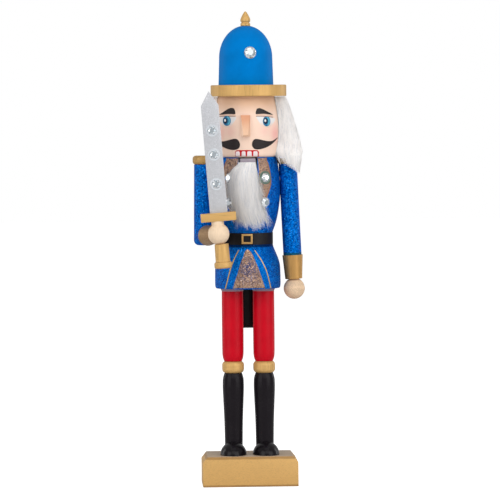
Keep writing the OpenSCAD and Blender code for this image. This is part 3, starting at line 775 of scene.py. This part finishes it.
def dress_turned_pieces():
    """Gives the turned pieces, the dowels, the hands and the belt their finishes."""
    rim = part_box("left_trouser_leg")[1].z - 2.4 * MM
    waist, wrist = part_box("coat_skirt")[1].z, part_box("left_arm")[0].z
    # The trousers turn grey-mauve in a ragged rim at their top.
    trousers = paint("trouser_red", linear(188, 2, 26), 0.36,
                     grey_rim(rim, linear(142, 122, 134)), specular=0.12)
    # Painted shade: the skirt goes dark navy just under the belt's edge.
    skirt = glitter("skirt_glitter", *BLUES, slot=True, tint=by_height(
        waist - 3.08 * MM, waist - 1.32 * MM, linear(2, 10, 44), 0.85))
    # Dark green band just above the cuff: partly gold paint run onto the blue, partly painted shade at the
    # joint.
    sleeve = glitter("left_sleeve_glitter", *BLUES, tint=by_height(
        wrist + 3.08 * MM, wrist + 1.32 * MM, linear(20, 74, 70), 0.85))
    for material, nodes in (
        (BLACK_GLOSS, ("left_shoe", "right_shoe")),
        (BLACK, ("left_boot", "right_boot")),
        (GOLD_Z, ("left_knee_band", "right_knee_band", "hat_brim", "finial", "sword_grip")),
        (trousers, ("left_trouser_leg", "right_trouser_leg")),
        (BROWN_AND_SHADED_GOLD, ("left_epaulette", "right_epaulette")),
        (GOLD_CUFF, ("left_cuff",)),
        (SHADED_CUFF, ("right_cuff",)),
        (skirt, ("coat_skirt",)),
        (sleeve, ("left_arm",)),
        (BLUE_GLITTER, ("torso", "right_upper_arm", "right_forearm")),
        (DOWEL_WOOD, ("leg_dowels", "waist_dowels", "neck_dowels", "hat_dowel", "shoulder_dowels",
                      "wrist_dowels")),
        (GRAINED_WOOD, ("left_hand",)),
        (PALE_WOOD, ("right_hand",)),
        (DOME_BLUE, ("hat_dome",)),
        (STEEL, ("lever_pin",)),
        (BELT, ("belt",)),
    ):
        for node in nodes:
            finish_node(node, material)


def build_sawn_pieces():
    """The boards, the blocks and the buckle, with softened edges. The lever's lip is painted white, greyed as
    painted shade.
    """
    softened("base_block", "base", 0.0009, [GOLD_BASE], FIGURE)
    softened("guard_block", "sword_guard", 0.0007, [GOLD_X], FIGURE)
    softened("blade_board", "sword_blade", 0.0004, [SILVER], FIGURE)
    softened("buckle_frame", "buckle", 0.0003, [BRASS], FIGURE)
    # The lip's white is greyed: painted shade under the head.
    shaded_jaw_white = paint("shaded_jaw_white", linear(154, 144, 154), 0.45)
    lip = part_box("jaw_lever")[1].z - 3.6 * MM
    softened("lever_board", "jaw_lever", 0.0006, [BLACK, shaded_jaw_white], LEVER,
             pick=lambda middle: int(middle.z > lip and middle.y < -23.5 * MM), paint_line=lip)


# ---------------------------------------------------------------- painted face

HEAD_R = turned_radius("head")
HEAD_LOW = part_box("head")[0].z
RIGHT_BROW = [
    (-22.2, 34.5), (-20, 35.9), (-17.7, 37.5), (-15.3, 39), (-13, 39.8), (-11, 39.6), (-10, 38.1),
    (-9.6, 36.1), (-10, 34.8), (-13, 34.9), (-16.2, 34.9), (-20.1, 34.5)]
LEFT_BROW = [
    (6.8, 34.8), (7, 37.2), (7.8, 38.9), (9.5, 39.5), (11.5, 39), (14.4, 37.7), (16.8, 36.4), (19.8, 34.8),
    (20.6, 33.9), (17.6, 34.3), (13.5, 34.8), (9.4, 34.7)]
RIGHT_MOUSTACHE = [
    (-6.2, 10.5), (-6.7, 12.6), (-8.1, 14.5), (-10.1, 15.1), (-12.5, 14.7), (-15.6, 13.9), (-18.8, 13.1),
    (-21.6, 13), (-23.6, 13.8), (-25.4, 15.4), (-24.6, 13.4), (-22.2, 10.6), (-18.8, 8.1), (-14.9, 6.6),
    (-11, 6.1), (-7.8, 6.9), (-6.5, 8.5)]
LEFT_MOUSTACHE = [
    (3.4, 10.4), (3.9, 12.8), (5.1, 14.3), (6.7, 14.8), (9.1, 14.5), (12.4, 13.7), (15.7, 13), (19.1, 12.9),
    (21.6, 13.7), (24.7, 15.6), (23.8, 14.2), (21.6, 12), (18.6, 9.7), (14.9, 7.8), (10.7, 6.6), (6.7, 6.4),
    (4.6, 7.5), (3.7, 8.9)]
RIGHT_EYE = [
    (-22.2, 32.4), (-19.3, 32.7), (-15.4, 32.7), (-11.5, 32.6), (-9.1, 32.4), (-9.5, 30.5), (-10.8, 28.5),
    (-12.8, 25.7), (-15.1, 24.3), (-17.9, 24.4), (-20.2, 26.2), (-21.7, 29.4)]
LEFT_EYE = [
    (7.3, 32.5), (11.8, 32.5), (16.8, 32), (21.8, 31.2), (22.7, 30.4), (21.8, 28.1), (20, 25.8), (17.9, 23.9),
    (15, 23.6), (12.1, 25.1), (9.7, 27.9), (7.9, 30.8)]
MOUTH = [
    (-10.2, 0.7), (-10.2, 4.5), (-9, 5.8), (-6.2, 6), (-0.6, 6), (5, 5.9), (7.9, 5.7), (9.1, 4.3), (9.1, 0.6)]
TEETH = ((-9.6, -6.3), (-4.9, -1.7), (-0.5, 3.1), (4.4, 7.9))


def face_patch(name, outline, lift, material):
    """A painted feature of the face, outlined in millimetres across from its middle and up from the chin."""
    points = np.asarray(outline, float) * MM + np.array([0, HEAD_LOW])
    patch(name, points, HEAD_R, lift * MM, material)


def build_face():
    """The painted features and the teeth, each a thin raised patch, and the skin of the head and nose."""
    black = paint("face_black", linear(40, 34, 34), 0.42)
    white = paint("eye_white", linear(226, 226, 226), 0.4)
    ball = Surface("eye_ball", 0.42)
    ball.colour(ball.mix(ball.step(ball.parts()[2], HEAD_LOW + 23.5 * MM, HEAD_LOW + 29.5 * MM),
                         linear(226, 196, 178), linear(222, 220, 220)))
    ball.bump(ball.noise(1400, 2.0), 0.15, 0.00006)
    iris = paint("iris_blue", linear(34, 106, 146), 0.34)
    glint = paint("iris_cyan", linear(88, 168, 192), 0.34)
    navy = paint("pupil_navy", linear(14, 22, 48), 0.3)
    lash = paint("lash_brown", linear(116, 84, 80), 0.45)
    lid = paint("lid_pink", linear(214, 170, 148), 0.45)
    red = paint("mouth_red", linear(186, 16, 30), 0.38)
    tooth = paint("tooth_white", linear(228, 214, 214), 0.36)

    eyes = (
        ("right", RIGHT_BROW, RIGHT_MOUSTACHE, RIGHT_EYE,
         (-16.3, 29.5), (-17.4, 29.5, 1.45, 2.3), (-17.6, 29.9),
         [(-22.6, 33), (-19.3, 33.2), (-15.4, 33.2), (-9.5, 33.2)]),
        ("left", LEFT_BROW, LEFT_MOUSTACHE, LEFT_EYE,
         (15.5, 28.8), (14.7, 29.1, 1.7, 2.5), (14.3, 29.4),
         [(6.9, 33), (11.8, 33), (16.8, 32.5), (21, 32)]),
    )
    for name, brow, moustache, eye, middle, pupil, spark, line in eyes:
        face_patch(name + "_brow", curve_points(brow, 5, True), 0.22, black)
        face_patch(name + "_moustache", curve_points(moustache, 5, True), 0.26, black)
        face_patch(name + "_eye_white", curve_points(eye, 5, True), 0.1, ball.mat)
        face_patch(name + "_iris", ellipse(*middle, 3.15, 4.1), 0.18, iris)
        outer = ellipse(*middle, 2.75, 3.7, 14, -80, 80)
        inner = ellipse(middle[0] - 0.7, middle[1], 2.1, 3.0, 14, -80, 80)[::-1]
        face_patch(name + "_iris_light", np.vstack([outer, inner]), 0.24, glint)
        face_patch(name + "_pupil", ellipse(*pupil), 0.26, navy)
        face_patch(name + "_eye_glint", ellipse(*spark, 0.75, 1.15, 16), 0.32, white)
        face_patch(name + "_lash", stripe_outline(curve_points(line, 6), 0.5), 0.2, lash)
        fold = np.array(line) + np.array([0, 1.05])
        face_patch(name + "_lid", stripe_outline(curve_points(fold, 6), 0.35), 0.12, lid)

    face_patch("mouth_paint", MOUTH, 0.14, red)
    for k, (a, b) in enumerate(TEETH):
        rounded = curve_points([
            (a, 0.9), (a, 2.6), (a + 0.15, 4.3), (a + 0.6, 4.85), ((a + b) / 2, 4.95), (b - 0.6, 4.85),
            (b - 0.15, 4.3), (b, 2.6), (b, 0.9)], 4)
        face_patch(f"tooth_{k + 1}", rounded, 0.36, tooth)

    def cheek(x, z):
        return on_barrel(np.array([x * MM]), np.array([HEAD_LOW + z * MM]), HEAD_R, 0.0)[0]

    pink = (236, 150, 150)
    spots = [
        (cheek(23.0, 19.0), 0.0115, 0.62, pink), (cheek(-23.0, 20.0), 0.0115, 0.62, pink),
        (cheek(14.0, 21.5), 0.008, 0.25, pink), (cheek(-14.0, 21.0), 0.008, 0.25, pink),
    ]
    # Painted shade: the skin turns darker and browner towards the hat, under the brim.
    finish_node("head", skin("skin", (237, 208, 189), (211, 171, 140),
                             (HEAD_LOW + 32 * MM, HEAD_LOW + 46 * MM), spots))
    low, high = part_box("nose")
    finish_node("nose", nose_skin(low.z, high.z))


# ---------------------------------------------------------------- painted coat

TORSO_R = turned_radius("torso")
SKIRT_R = turned_radius("coat_skirt")
SLOT_FLOOR = PIVOT.z - 23 * MM
CHEST_EDGE = [
    (14.8, 21.5), (16, 19.1), (16.8, 15.9), (17.6, 11.8), (18.4, 5.4), (17.8, 0.6), (16.3, -4.2),
    (14.8, -8.2), (13.8, -14.6), (12.7, -18.6), (11.5, -23.4), (9.4, -28.2), (7.8, -33.1), (6.6, -36.6)]
SKIRT_RIGHT = [
    (-12.9, 0.5), (-11.5, 5.8), (-9.4, 11.9), (-7.9, 17.1), (-6.3, 22.1), (-4.5, 26.1), (-3.2, 29.9)]
SKIRT_LEFT = [(13.1, 0.4), (11.3, 6.2), (9.5, 11.5), (7.6, 17.2), (5.6, 22), (3.6, 26.8), (1.5, 30.4)]
PIPING_LEFT = [
    (17.6, 0.5), (16.5, 5.6), (15.3, 10.5), (13.9, 15.3), (12.1, 19.4), (10.1, 23.4), (7.9, 26.7), (5, 31.2)]
PIPING_RIGHT = [
    (-18.8, 0.5), (-17.5, 5.1), (-15.9, 11.6), (-14.3, 17.3), (-11.8, 23.7), (-9.5, 28.4), (-7.6, 31.6)]
CHEST_MIDDLE = -0.8


def build_chest_panel():
    """The copper front of the coat, notched round the lever's slot, and its darker edges."""
    fade = by_height(PIVOT.z - 16 * MM, PIVOT.z - 24 * MM, MID_BLUE)
    copper = glitter("chest_copper", *COPPERS, 1900.0, tint=fade)
    left = curve_points(CHEST_EDGE, 5) * MM + np.array([0, PIVOT.z])
    right = left * np.array([-1, 1]) + np.array([2 * CHEST_MIDDLE * MM, 0])
    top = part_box("torso")[1].z - 0.4 * MM
    left[0, 1] = right[0, 1] = top
    notch = [(-SLOT_HALF, top), (-SLOT_HALF, SLOT_FLOOR), (SLOT_HALF, SLOT_FLOOR), (SLOT_HALF, top)]
    outline = np.vstack([left, right[::-1], notch])
    patch("chest_panel", outline, TORSO_R, 0.16 * MM, copper, spacing=0.0014)
    for name, path in (("left", left[:-10]), ("right", right[:-10])):
        patch(f"{name}_chest_edge", stripe_outline(path, 1.0 * MM), TORSO_R, 0.22 * MM, COPPER_LINE,
              spacing=0.0012)


def build_skirt_panel():
    """The copper panel down the skirt, a band each side of it and the gold piping outside them."""
    low = np.array([0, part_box("coat_skirt")[0].z])
    left, right, outer_left, outer_right = (
        curve_points(line, 5) * MM + low for line in (SKIRT_LEFT, SKIRT_RIGHT, PIPING_LEFT, PIPING_RIGHT))
    crown = curve_points([SKIRT_LEFT[-1], (-0.9, 32.1), SKIRT_RIGHT[-1]], 5)[1:-1] * MM + low
    middle = (-0.5 * MM, -SKIRT_R(low[1] + 16 * MM), low[1] + 16 * MM)
    copper = glitter("skirt_copper", *COPPERS, 1900.0, tint=dark_middle(middle, 0.0165, linear(66, 74, 112)))
    patch("skirt_panel", np.vstack([left, crown, right[::-1]]), SKIRT_R, 0.16 * MM, copper,
          spacing=0.0014)
    for name, inner, outer in (("left", left, outer_left), ("right", right, outer_right)):
        patch(f"{name}_skirt_band", np.vstack([inner, outer[::-1]]), SKIRT_R, 0.2 * MM, BAND_BLUE,
              spacing=0.0012)
        patch(f"{name}_skirt_piping", stripe_outline(outer, 0.7 * MM), SKIRT_R, 0.3 * MM, PIPING,
              spacing=0.0012)


# ---------------------------------------------------------------- rhinestones

def stone_mesh(radius, height):
    """A faceted crown over a thin girdle: eight table corners, sixteen star and girdle corners."""
    bm = bmesh.new()
    for count, share, up, turn in (
        (16, 1.0, 0.0, 0.0), (16, 1.0, 0.18, 0.0), (16, 0.8, 0.62, 0.5), (8, 0.5, 1.0, 0.5)):
        for k in range(count):
            a = 2 * math.pi * (k + turn) / count
            bm.verts.new((radius * share * math.cos(a), -height * up, radius * share * math.sin(a)))
    bmesh.ops.convex_hull(bm, input=bm.verts)
    bmesh.ops.recalc_face_normals(bm, faces=bm.faces)
    return to_mesh("stone", bm)


def setting_mesh(radius):
    """A shallow dished ring under a stone."""
    bm = bmesh.new()
    rings = [(1.0, 0.0), (1.0, 0.32), (0.93, 0.5), (0.84, 0.42), (0.7, 0.3), (0.0, 0.3)]
    last = None
    for share, up in rings:
        ring = [
            bm.verts.new((radius * share * math.cos(a), -up * MM, radius * share * math.sin(a)))
            for a in np.linspace(0, 2 * math.pi, 32, endpoint=False)
        ] if share else [bm.verts.new((0, -up * MM, 0))]
        if last and share:
            for k in range(32):
                bm.faces.new((last[k], last[(k + 1) % 32], ring[(k + 1) % 32], ring[k]))
        elif last:
            for k in range(32):
                bm.faces.new((last[k], last[(k + 1) % 32], ring[0]))
        last = ring
    bmesh.ops.recalc_face_normals(bm, faces=bm.faces)
    return to_mesh("setting", bm)


def add_shape(bm, shape, matrix):
    """Adds a mesh to a bmesh, moved by a matrix."""
    shape.transform(matrix)
    bm.from_mesh(shape)
    bpy.data.meshes.remove(shape)


def node_islands(node):
    """The low and high corners of each separate solid of a CAD node."""
    bm = bmesh.new()
    bm.from_mesh(NODES[node].data)
    bmesh.ops.remove_doubles(bm, verts=bm.verts, dist=2e-6)
    left = set(bm.verts)
    found = []
    while left:
        todo = [left.pop()]
        island = list(todo)
        while todo:
            for e in todo.pop().link_edges:
                for v in e.verts:
                    if v in left:
                        left.remove(v)
                        todo.append(v)
                        island.append(v)
        co = np.array([v.co for v in island])
        found.append((co.min(0), co.max(0)))
    bm.free()
    return sorted(found, key=lambda box: tuple(np.round(box[0], 4)))


def place_stones(name, node, radius, height, seats, ring=None, ring_material=None, ringed=lambda place: True):
    """One object of faceted stones, each given as (place, direction that it faces).

    The stones that ringed picks sit in a ring of their own."""
    stones = bmesh.new()
    rings = bmesh.new()
    for place, facing in seats:
        turn = Vector((0, -1, 0)).rotation_difference(Vector(facing)).to_matrix().to_4x4()
        move = Matrix.Translation(Vector(place)) @ turn
        has_ring = ring and ringed(place)
        share = 0.9 if has_ring and ring_material is SETTING else 1
        raised = move @ Matrix.Translation((0, -0.3 * MM if has_ring else 0, 0))
        add_shape(stones, stone_mesh(radius * share, height), raised)
        if has_ring:
            add_shape(rings, setting_mesh(ring), move)
    ob = new_object(name, to_mesh(name, stones), [CRYSTAL], FIGURE, smooth_angle=None)
    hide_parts(node)
    if ring:
        name += "_rings"
        new_object(name, to_mesh(name, rings), [ring_material], FIGURE)


def seat_on_barrel(node, radius, sink=0.2 * MM):
    """Where each stone of a node sits on a turned surface, and which way it faces."""
    seats = []
    for lo, hi in node_islands(node):
        middle = (lo + hi) / 2
        around = math.atan2(middle[0], -middle[1])
        z = middle[2]
        slope = (radius(z + 0.002) - radius(z - 0.002)) / 0.004
        facing = Vector((math.sin(around), -math.cos(around), -slope)).normalized()
        r = radius(z) - sink
        seats.append(((r * math.sin(around), -r * math.cos(around), z), facing))
    return seats


def build_stones():
    """The stones of the hat, the chest and the sword, each where its CAD solid is."""
    place_stones("hat_stone", "hat_gem", 4.85 * MM, 2.4 * MM,
                 seat_on_barrel("hat_gem", turned_radius("hat_dome")))
    place_stones("chest_stones", "chest_gems", 4.1 * MM, 2.2 * MM, seat_on_barrel("chest_gems", TORSO_R),
                 5.4 * MM, SETTING, lambda place: place[0] > 0 and place[2] > PIVOT.z)
    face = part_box("sword_blade")[0].y
    seats = [(((lo[0] + hi[0]) / 2, face, (lo[2] + hi[2]) / 2), (0, -1, 0))
             for lo, hi in node_islands("sword_gems")]
    place_stones("sword_stones", "sword_gems", 3.6 * MM, 1.9 * MM, seats, 5.0 * MM, CLEAR_RING)


# ---------------------------------------------------------------- hair and beard

HAIR_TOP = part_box("hair")[1].z
SHOULDER_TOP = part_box("left_epaulette")[1].z
HAIR_OUT = ([0, 7, 14, 22, 31, 40, 45, 51, 56], [32, 34.7, 37.1, 39.4, 41.8, 44.1, 45.4, 45.5, 44.6])
HAIR_CLOSE = ([0, 12, 32, 50, 60], [29.6, 31.4, 32.4, 32.6, 31.5])
HAIR_START = ([0, 20, 36, 44, 48, 56], [-6, -8, -13, -20, -24, -26])
HAIR_JOIN = ([0, 20, 36, 44, 46.5, 56], [5, 3, -4, -12, -15.5, -17])
HAIR_HEM = ([47, 47.4, 50, 54, 57, 60, 63], [0, 27.3, 27.9, 29.6, 32.8, 36.6, 40])
FRONT = 0.12
HAIR_LAST = 186
DRAPED = 2600


def hair_low(u):
    """How low the hair hangs, in metres above the shoulder, from its front edge round to the other side."""
    bottom = -15.5 + (u - FRONT) / (1 - FRONT) * (HAIR_LAST + 15.5)
    front = np.interp(u / FRONT, [0, 0.2, 0.4, 0.6, 0.8, 1], [-2.6, -4.4, -5.8, -6.6, -7.1, -7.4])
    rest = np.interp(bottom, [-15.5, -14.5, -13.5, 20, 22, 158, 160, HAIR_LAST],
                     [-7.4, -7.4, 1.0, 1.0, -7.4, -7.4, 0.6, 0.6])
    return np.where(u < FRONT, front, rest) * MM


def hair_shell(u, t, share=1.0):
    """The hair's outer surface: u runs from its front edge on the left round the back, and t runs down."""
    u = np.clip(u, -0.03, 1.03)
    z = HAIR_TOP + (SHOULDER_TOP + hair_low(u) - HAIR_TOP) * t
    down = (HAIR_TOP - z) / MM
    start, join = np.interp(down, *HAIR_START), np.interp(down, *HAIR_JOIN)
    degrees = np.where(u < FRONT, start + (join - start) * u / FRONT,
                       join + (HAIR_LAST - join) * (u - FRONT) / (1 - FRONT))
    close = np.interp(down, *HAIR_CLOSE) * MM
    full = np.interp(down, *HAIR_OUT) * MM
    outer = close + (full - close) * (1 - ease((degrees - 40) / 45))
    inner = np.maximum(HEAD_R(np.maximum(z, HEAD_LOW + 2 * MM)) + 0.15 * MM, np.interp(down, *HAIR_HEM) * MM)
    edge = np.interp(u / FRONT, [-0.25, 0, 0.2, 0.4, 0.6, 0.8, 1], [0.0, 0.02, 0.45, 0.72, 0.88, 0.97, 1])
    edge = edge * np.clip((1.01 - u) / 0.05, 0.05, 1) ** 0.5
    radial = inner + (outer - inner) * edge * share
    turn = np.radians(degrees)
    return np.stack([radial * np.cos(turn), radial * np.sin(turn), z], -1)


def hair_strands(u, top, low, rng, sway):
    """Hairs that lie on the hair's coat between two of its heights, with ends that stand off a little."""
    count = len(u)
    own = np.linspace(0, 1, STRAND_STEPS)[None]
    t = top[:, None] + (low - top)[:, None] * own
    wave = np.sin(own * rng.uniform(1.5, 4.5, (count, 1)) + rng.uniform(0, 6.3, (count, 1)))
    uu = u[:, None] + rng.normal(0, sway, (count, 1)) * wave
    uu = uu + rng.normal(0, sway, (count, 1)) * own
    facing = shell_facing(hair_shell, uu, t, 1.0)
    off = rng.uniform(-0.25, 0.3, (count, 1)) + rng.uniform(0, 0.6, (count, 1)) * own ** 2
    stray = rng.uniform(0, 1, (count, 1)) < 0.02
    off = off + stray * rng.uniform(0.5, 1.7, (count, 1)) * own ** 1.5
    root = np.clip(1 - own / 0.12, 0, 1) * 0.35
    return hair_shell(uu, t) + facing * (off - root)[..., None] * MM, facing


def build_hair():
    """Strands over a closed mat: thick at the front, and some draped over the shoulder from the hem up."""
    rng = np.random.default_rng(11)
    spans = ((-0.03, 0.14, 5600), (0.14, 0.4, 2600), (0.4, 1.0, 3800), (0.015, 0.145, DRAPED))
    u = np.concatenate([rng.uniform(*span) for span in spans])
    count = len(u)
    draped = np.arange(count) >= count - DRAPED
    top = rng.uniform(-0.25, 0.78, count)
    low = top + rng.uniform(0.3, 0.6, count)
    top = np.maximum(top, 0.0)
    hangs = hair_low(u) < 0
    front = hangs & (u < 0.14)
    hem = np.where(front, 0.9 + 0.27 * rng.beta(1.2, 1.5, count), 1 + rng.uniform(-0.04, 0.06, count))
    hem = np.where(front & (u < 0.04), hem - 0.03, hem)
    low = np.minimum(low, np.where(hangs, hem, 1 + rng.uniform(-0.03, 0.0, count)))
    low = np.where(draped & front, hem, low)
    top = np.where(draped & front, hem - rng.uniform(0.3, 0.5, count), top)
    sway = np.where(u < 0.14, 0.0035, 0.003)[:, None]
    points, facing = hair_strands(u, top, low, rng, sway)
    width = rng.uniform(0.16, 0.28, count) * MM
    lean = np.radians(rng.normal(0, 13, count).clip(-30, 30))
    mesh = ribbon_mesh("hair_fur", points, facing, width, lean, rng.uniform(0, 1, count) < 0.08)
    ob = new_object("hair_fur", mesh, [FUR, FUR_SHADE], FIGURE, smooth_angle=None)
    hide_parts("hair")

    columns = np.concatenate([np.linspace(0, FRONT, 9), np.linspace(FRONT, 1.0, 70)[1:]])
    uu, tt = np.meshgrid(columns, np.linspace(0.0, 0.985, 34), indexing="ij")
    tt = tt * np.interp(uu, [0.0, FRONT, FRONT + 0.012], [0.9, 0.93, 1.0])
    ripple = 1 + 0.012 * np.sin(uu * 420 + 2.5 * np.sin(tt * 5))
    outer = hair_shell(uu, tt, 0.96 * ripple)
    inner = hair_shell(uu, tt, 0.0)
    mat = mat_mesh("hair_underfur", outer, inner)
    new_object("hair_underfur", mat, [FUR], FIGURE, smooth_angle=80)


BEARD_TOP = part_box("beard")[1].z
BEARD_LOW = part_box("beard")[0].z
LEVER_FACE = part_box("jaw_lever")[0].y
BEARD_RIGHT = ([-36.5, -32.6, -26.2, -19.7, -14.1, -6.1, 2, 9.2, 13.2, 17.1, 20.3],
               [-6.6, -7, -8.5, -10.8, -12.8, -13.9, -15, -14.6, -12.9, -9.7, -6.3])
BEARD_LEFT = ([-36.5, -34.5, -30.4, -24.8, -20, -15.1, -10.3, -2.3, 4.1, 9.8, 19.4],
              [16, 15.9, 15.2, 13.0, 11.2, 9.6, 8.3, 7.8, 7, 6.4, 6.2])
BEARD_MAT = 0.47
LOCKS = 13


def chest_front(x, z):
    """How far forward the coat's surface is, with the belt below it and the lever above."""
    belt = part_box("belt")[1]
    r = np.maximum(np.where(z > belt.z, TORSO_R(z), 0), belt.x + 0.3 * MM)
    y = -np.sqrt(np.maximum(r ** 2 - x ** 2, (6 * MM) ** 2))
    lever = LEVER_FACE - 0.1 * MM
    return y + (np.minimum(y, lever) - y) * ease((z - BEARD_TOP + 12 * MM) / (8 * MM))


def beard_shell(u, t, share=1.0):
    """The beard's outer surface: u runs across from -1 to 1, t runs down."""
    u = np.clip(u, -1.7, 1.7)
    z = BEARD_TOP + (BEARD_LOW - BEARD_TOP) * t
    up = (z - PIVOT.z) / MM
    right, left = np.interp(up, *BEARD_RIGHT) * MM, np.interp(up, *BEARD_LEFT) * MM
    x = (left + right) / 2 + (left - right) / 2 * u
    across = np.sqrt(np.clip(1.02 - u ** 2, 0.0, 1))
    swell = 1.0 + 3.6 * np.sin(np.pi * np.clip(0.1 + 0.85 * t, 0, 1)) ** 0.8
    y = chest_front(x, z) - (0.35 + across * swell * share) * MM
    return np.stack([x, y, z], -1)


def build_beard():
    """Body hairs, locks at the tip and a loose fringe, over a closed mat."""
    rng = np.random.default_rng(23)
    body, tips, fringe = 8000, 2100, 2400
    count = body + tips + fringe
    kind = np.repeat([0, 1, 2], [body, tips, fringe])
    u = rng.uniform(-1.0, 1.0, count)
    u = np.where(kind == 2, np.sign(u) * rng.uniform(0.72, 1.0, count), u)
    top = np.choose(kind, [
        rng.uniform(-0.15, 0.58, count), rng.uniform(0.3, 0.66, count), rng.uniform(0, 0.7, count)])
    top = top.clip(0, 1)
    low = top + rng.uniform(0.22, 0.5, count)
    locks = np.linspace(-1.0, 1.0, LOCKS) + rng.uniform(-0.05, 0.05, LOCKS)
    lock = np.argmin(np.abs(u[:, None] - locks[None]), 1)
    reach = rng.uniform(0.88, 1.0, LOCKS)[lock]
    end = np.choose(kind, [rng.uniform(0.5, 0.72, count), 0.62 + (reach - 0.62) * rng.beta(1.7, 1.0, count),
                           rng.uniform(0.4, 0.96, count)])
    low = np.where(kind == 1, end, np.minimum(low, end))
    top = np.minimum(top, low - 0.12)
    own = np.linspace(0, 1, STRAND_STEPS)[None]
    t = top[:, None] + (low - top)[:, None] * own
    drift = np.where(kind == 2, np.sign(u) * rng.uniform(0.05, 0.55, count), rng.normal(0, 0.13, count))
    wave = np.sin(own * rng.uniform(2, 6, (count, 1)) + rng.uniform(0, 6.3, (count, 1)))
    uu = u[:, None] + drift[:, None] * own ** 1.3 + rng.normal(0, 0.022, (count, 1)) * wave
    spread = rng.normal(0, 0.06, LOCKS)[lock][:, None]
    pull = 0.92 * ease((t - 0.46) / 0.36) * rng.uniform(0.45, 1.0, (count, 1)) * (kind < 2)[:, None]
    uu = uu + (locks[lock][:, None] + spread * ease((t - 0.5) / 0.5) + 0.3 * drift[:, None] - uu) * pull
    points = beard_shell(uu, t)
    facing = shell_facing(beard_shell, np.clip(uu, -0.97, 0.97), t, -1.0)
    off = rng.uniform(-0.5, 0.35, (count, 1)) + rng.uniform(0, 0.9, (count, 1)) * own ** 2
    stray = rng.uniform(0, 1, (count, 1)) < 0.04
    off = off + stray * rng.uniform(0.4, 1.6, (count, 1)) * own - np.clip(1 - own / 0.12, 0, 1) * 0.4
    points = points + facing * off[..., None] * MM
    front = chest_front(points[..., 0], points[..., 2])
    points[..., 1] = np.minimum(points[..., 1], front - 0.15 * MM)
    width = rng.uniform(0.13, 0.23, count) * MM * np.choose(kind, [1.0, 0.8, 0.75])
    lean = np.radians(rng.normal(0, 24, count).clip(-48, 48))
    mesh = ribbon_mesh("beard_fur", points, facing, width, lean, rng.uniform(0, 1, count) < 0.24)
    end = (0, LEVER_FACE, BEARD_TOP - 32 * MM)
    fur = new_object("beard_fur", mesh, [FUR, FUR_SHADE], None, smooth_angle=None)
    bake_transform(fur)
    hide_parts("beard")

    uu, tt = np.meshgrid(np.linspace(-0.97, 0.97, 36), np.linspace(0.0, BEARD_MAT, 40), indexing="ij")
    narrow = 0.9 - 0.25 * ease((tt - 0.25) / 0.31)
    ripple = 1 + 0.05 * np.sin(uu * 60 + 2 * np.sin(tt * 7))
    thin = 0.86 * (1 - 0.6 * ease((tt - 0.3) / 0.26))
    outer = beard_shell(uu * narrow, tt, thin * ripple)
    inner = beard_shell(uu * narrow, tt, 0.0)
    inner[..., 1] += 0.2 * MM
    mat = new_object("beard_underfur", mat_mesh("beard_underfur", outer, inner), [FUR], None,
                     smooth_angle=80)
    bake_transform(mat)


# ---------------------------------------------------------------- put together

make_camera()
make_studio()
dress_turned_pieces()
build_sawn_pieces()
build_face()
build_chest_panel()
build_skirt_panel()
build_stones()
build_hair()
build_beard()
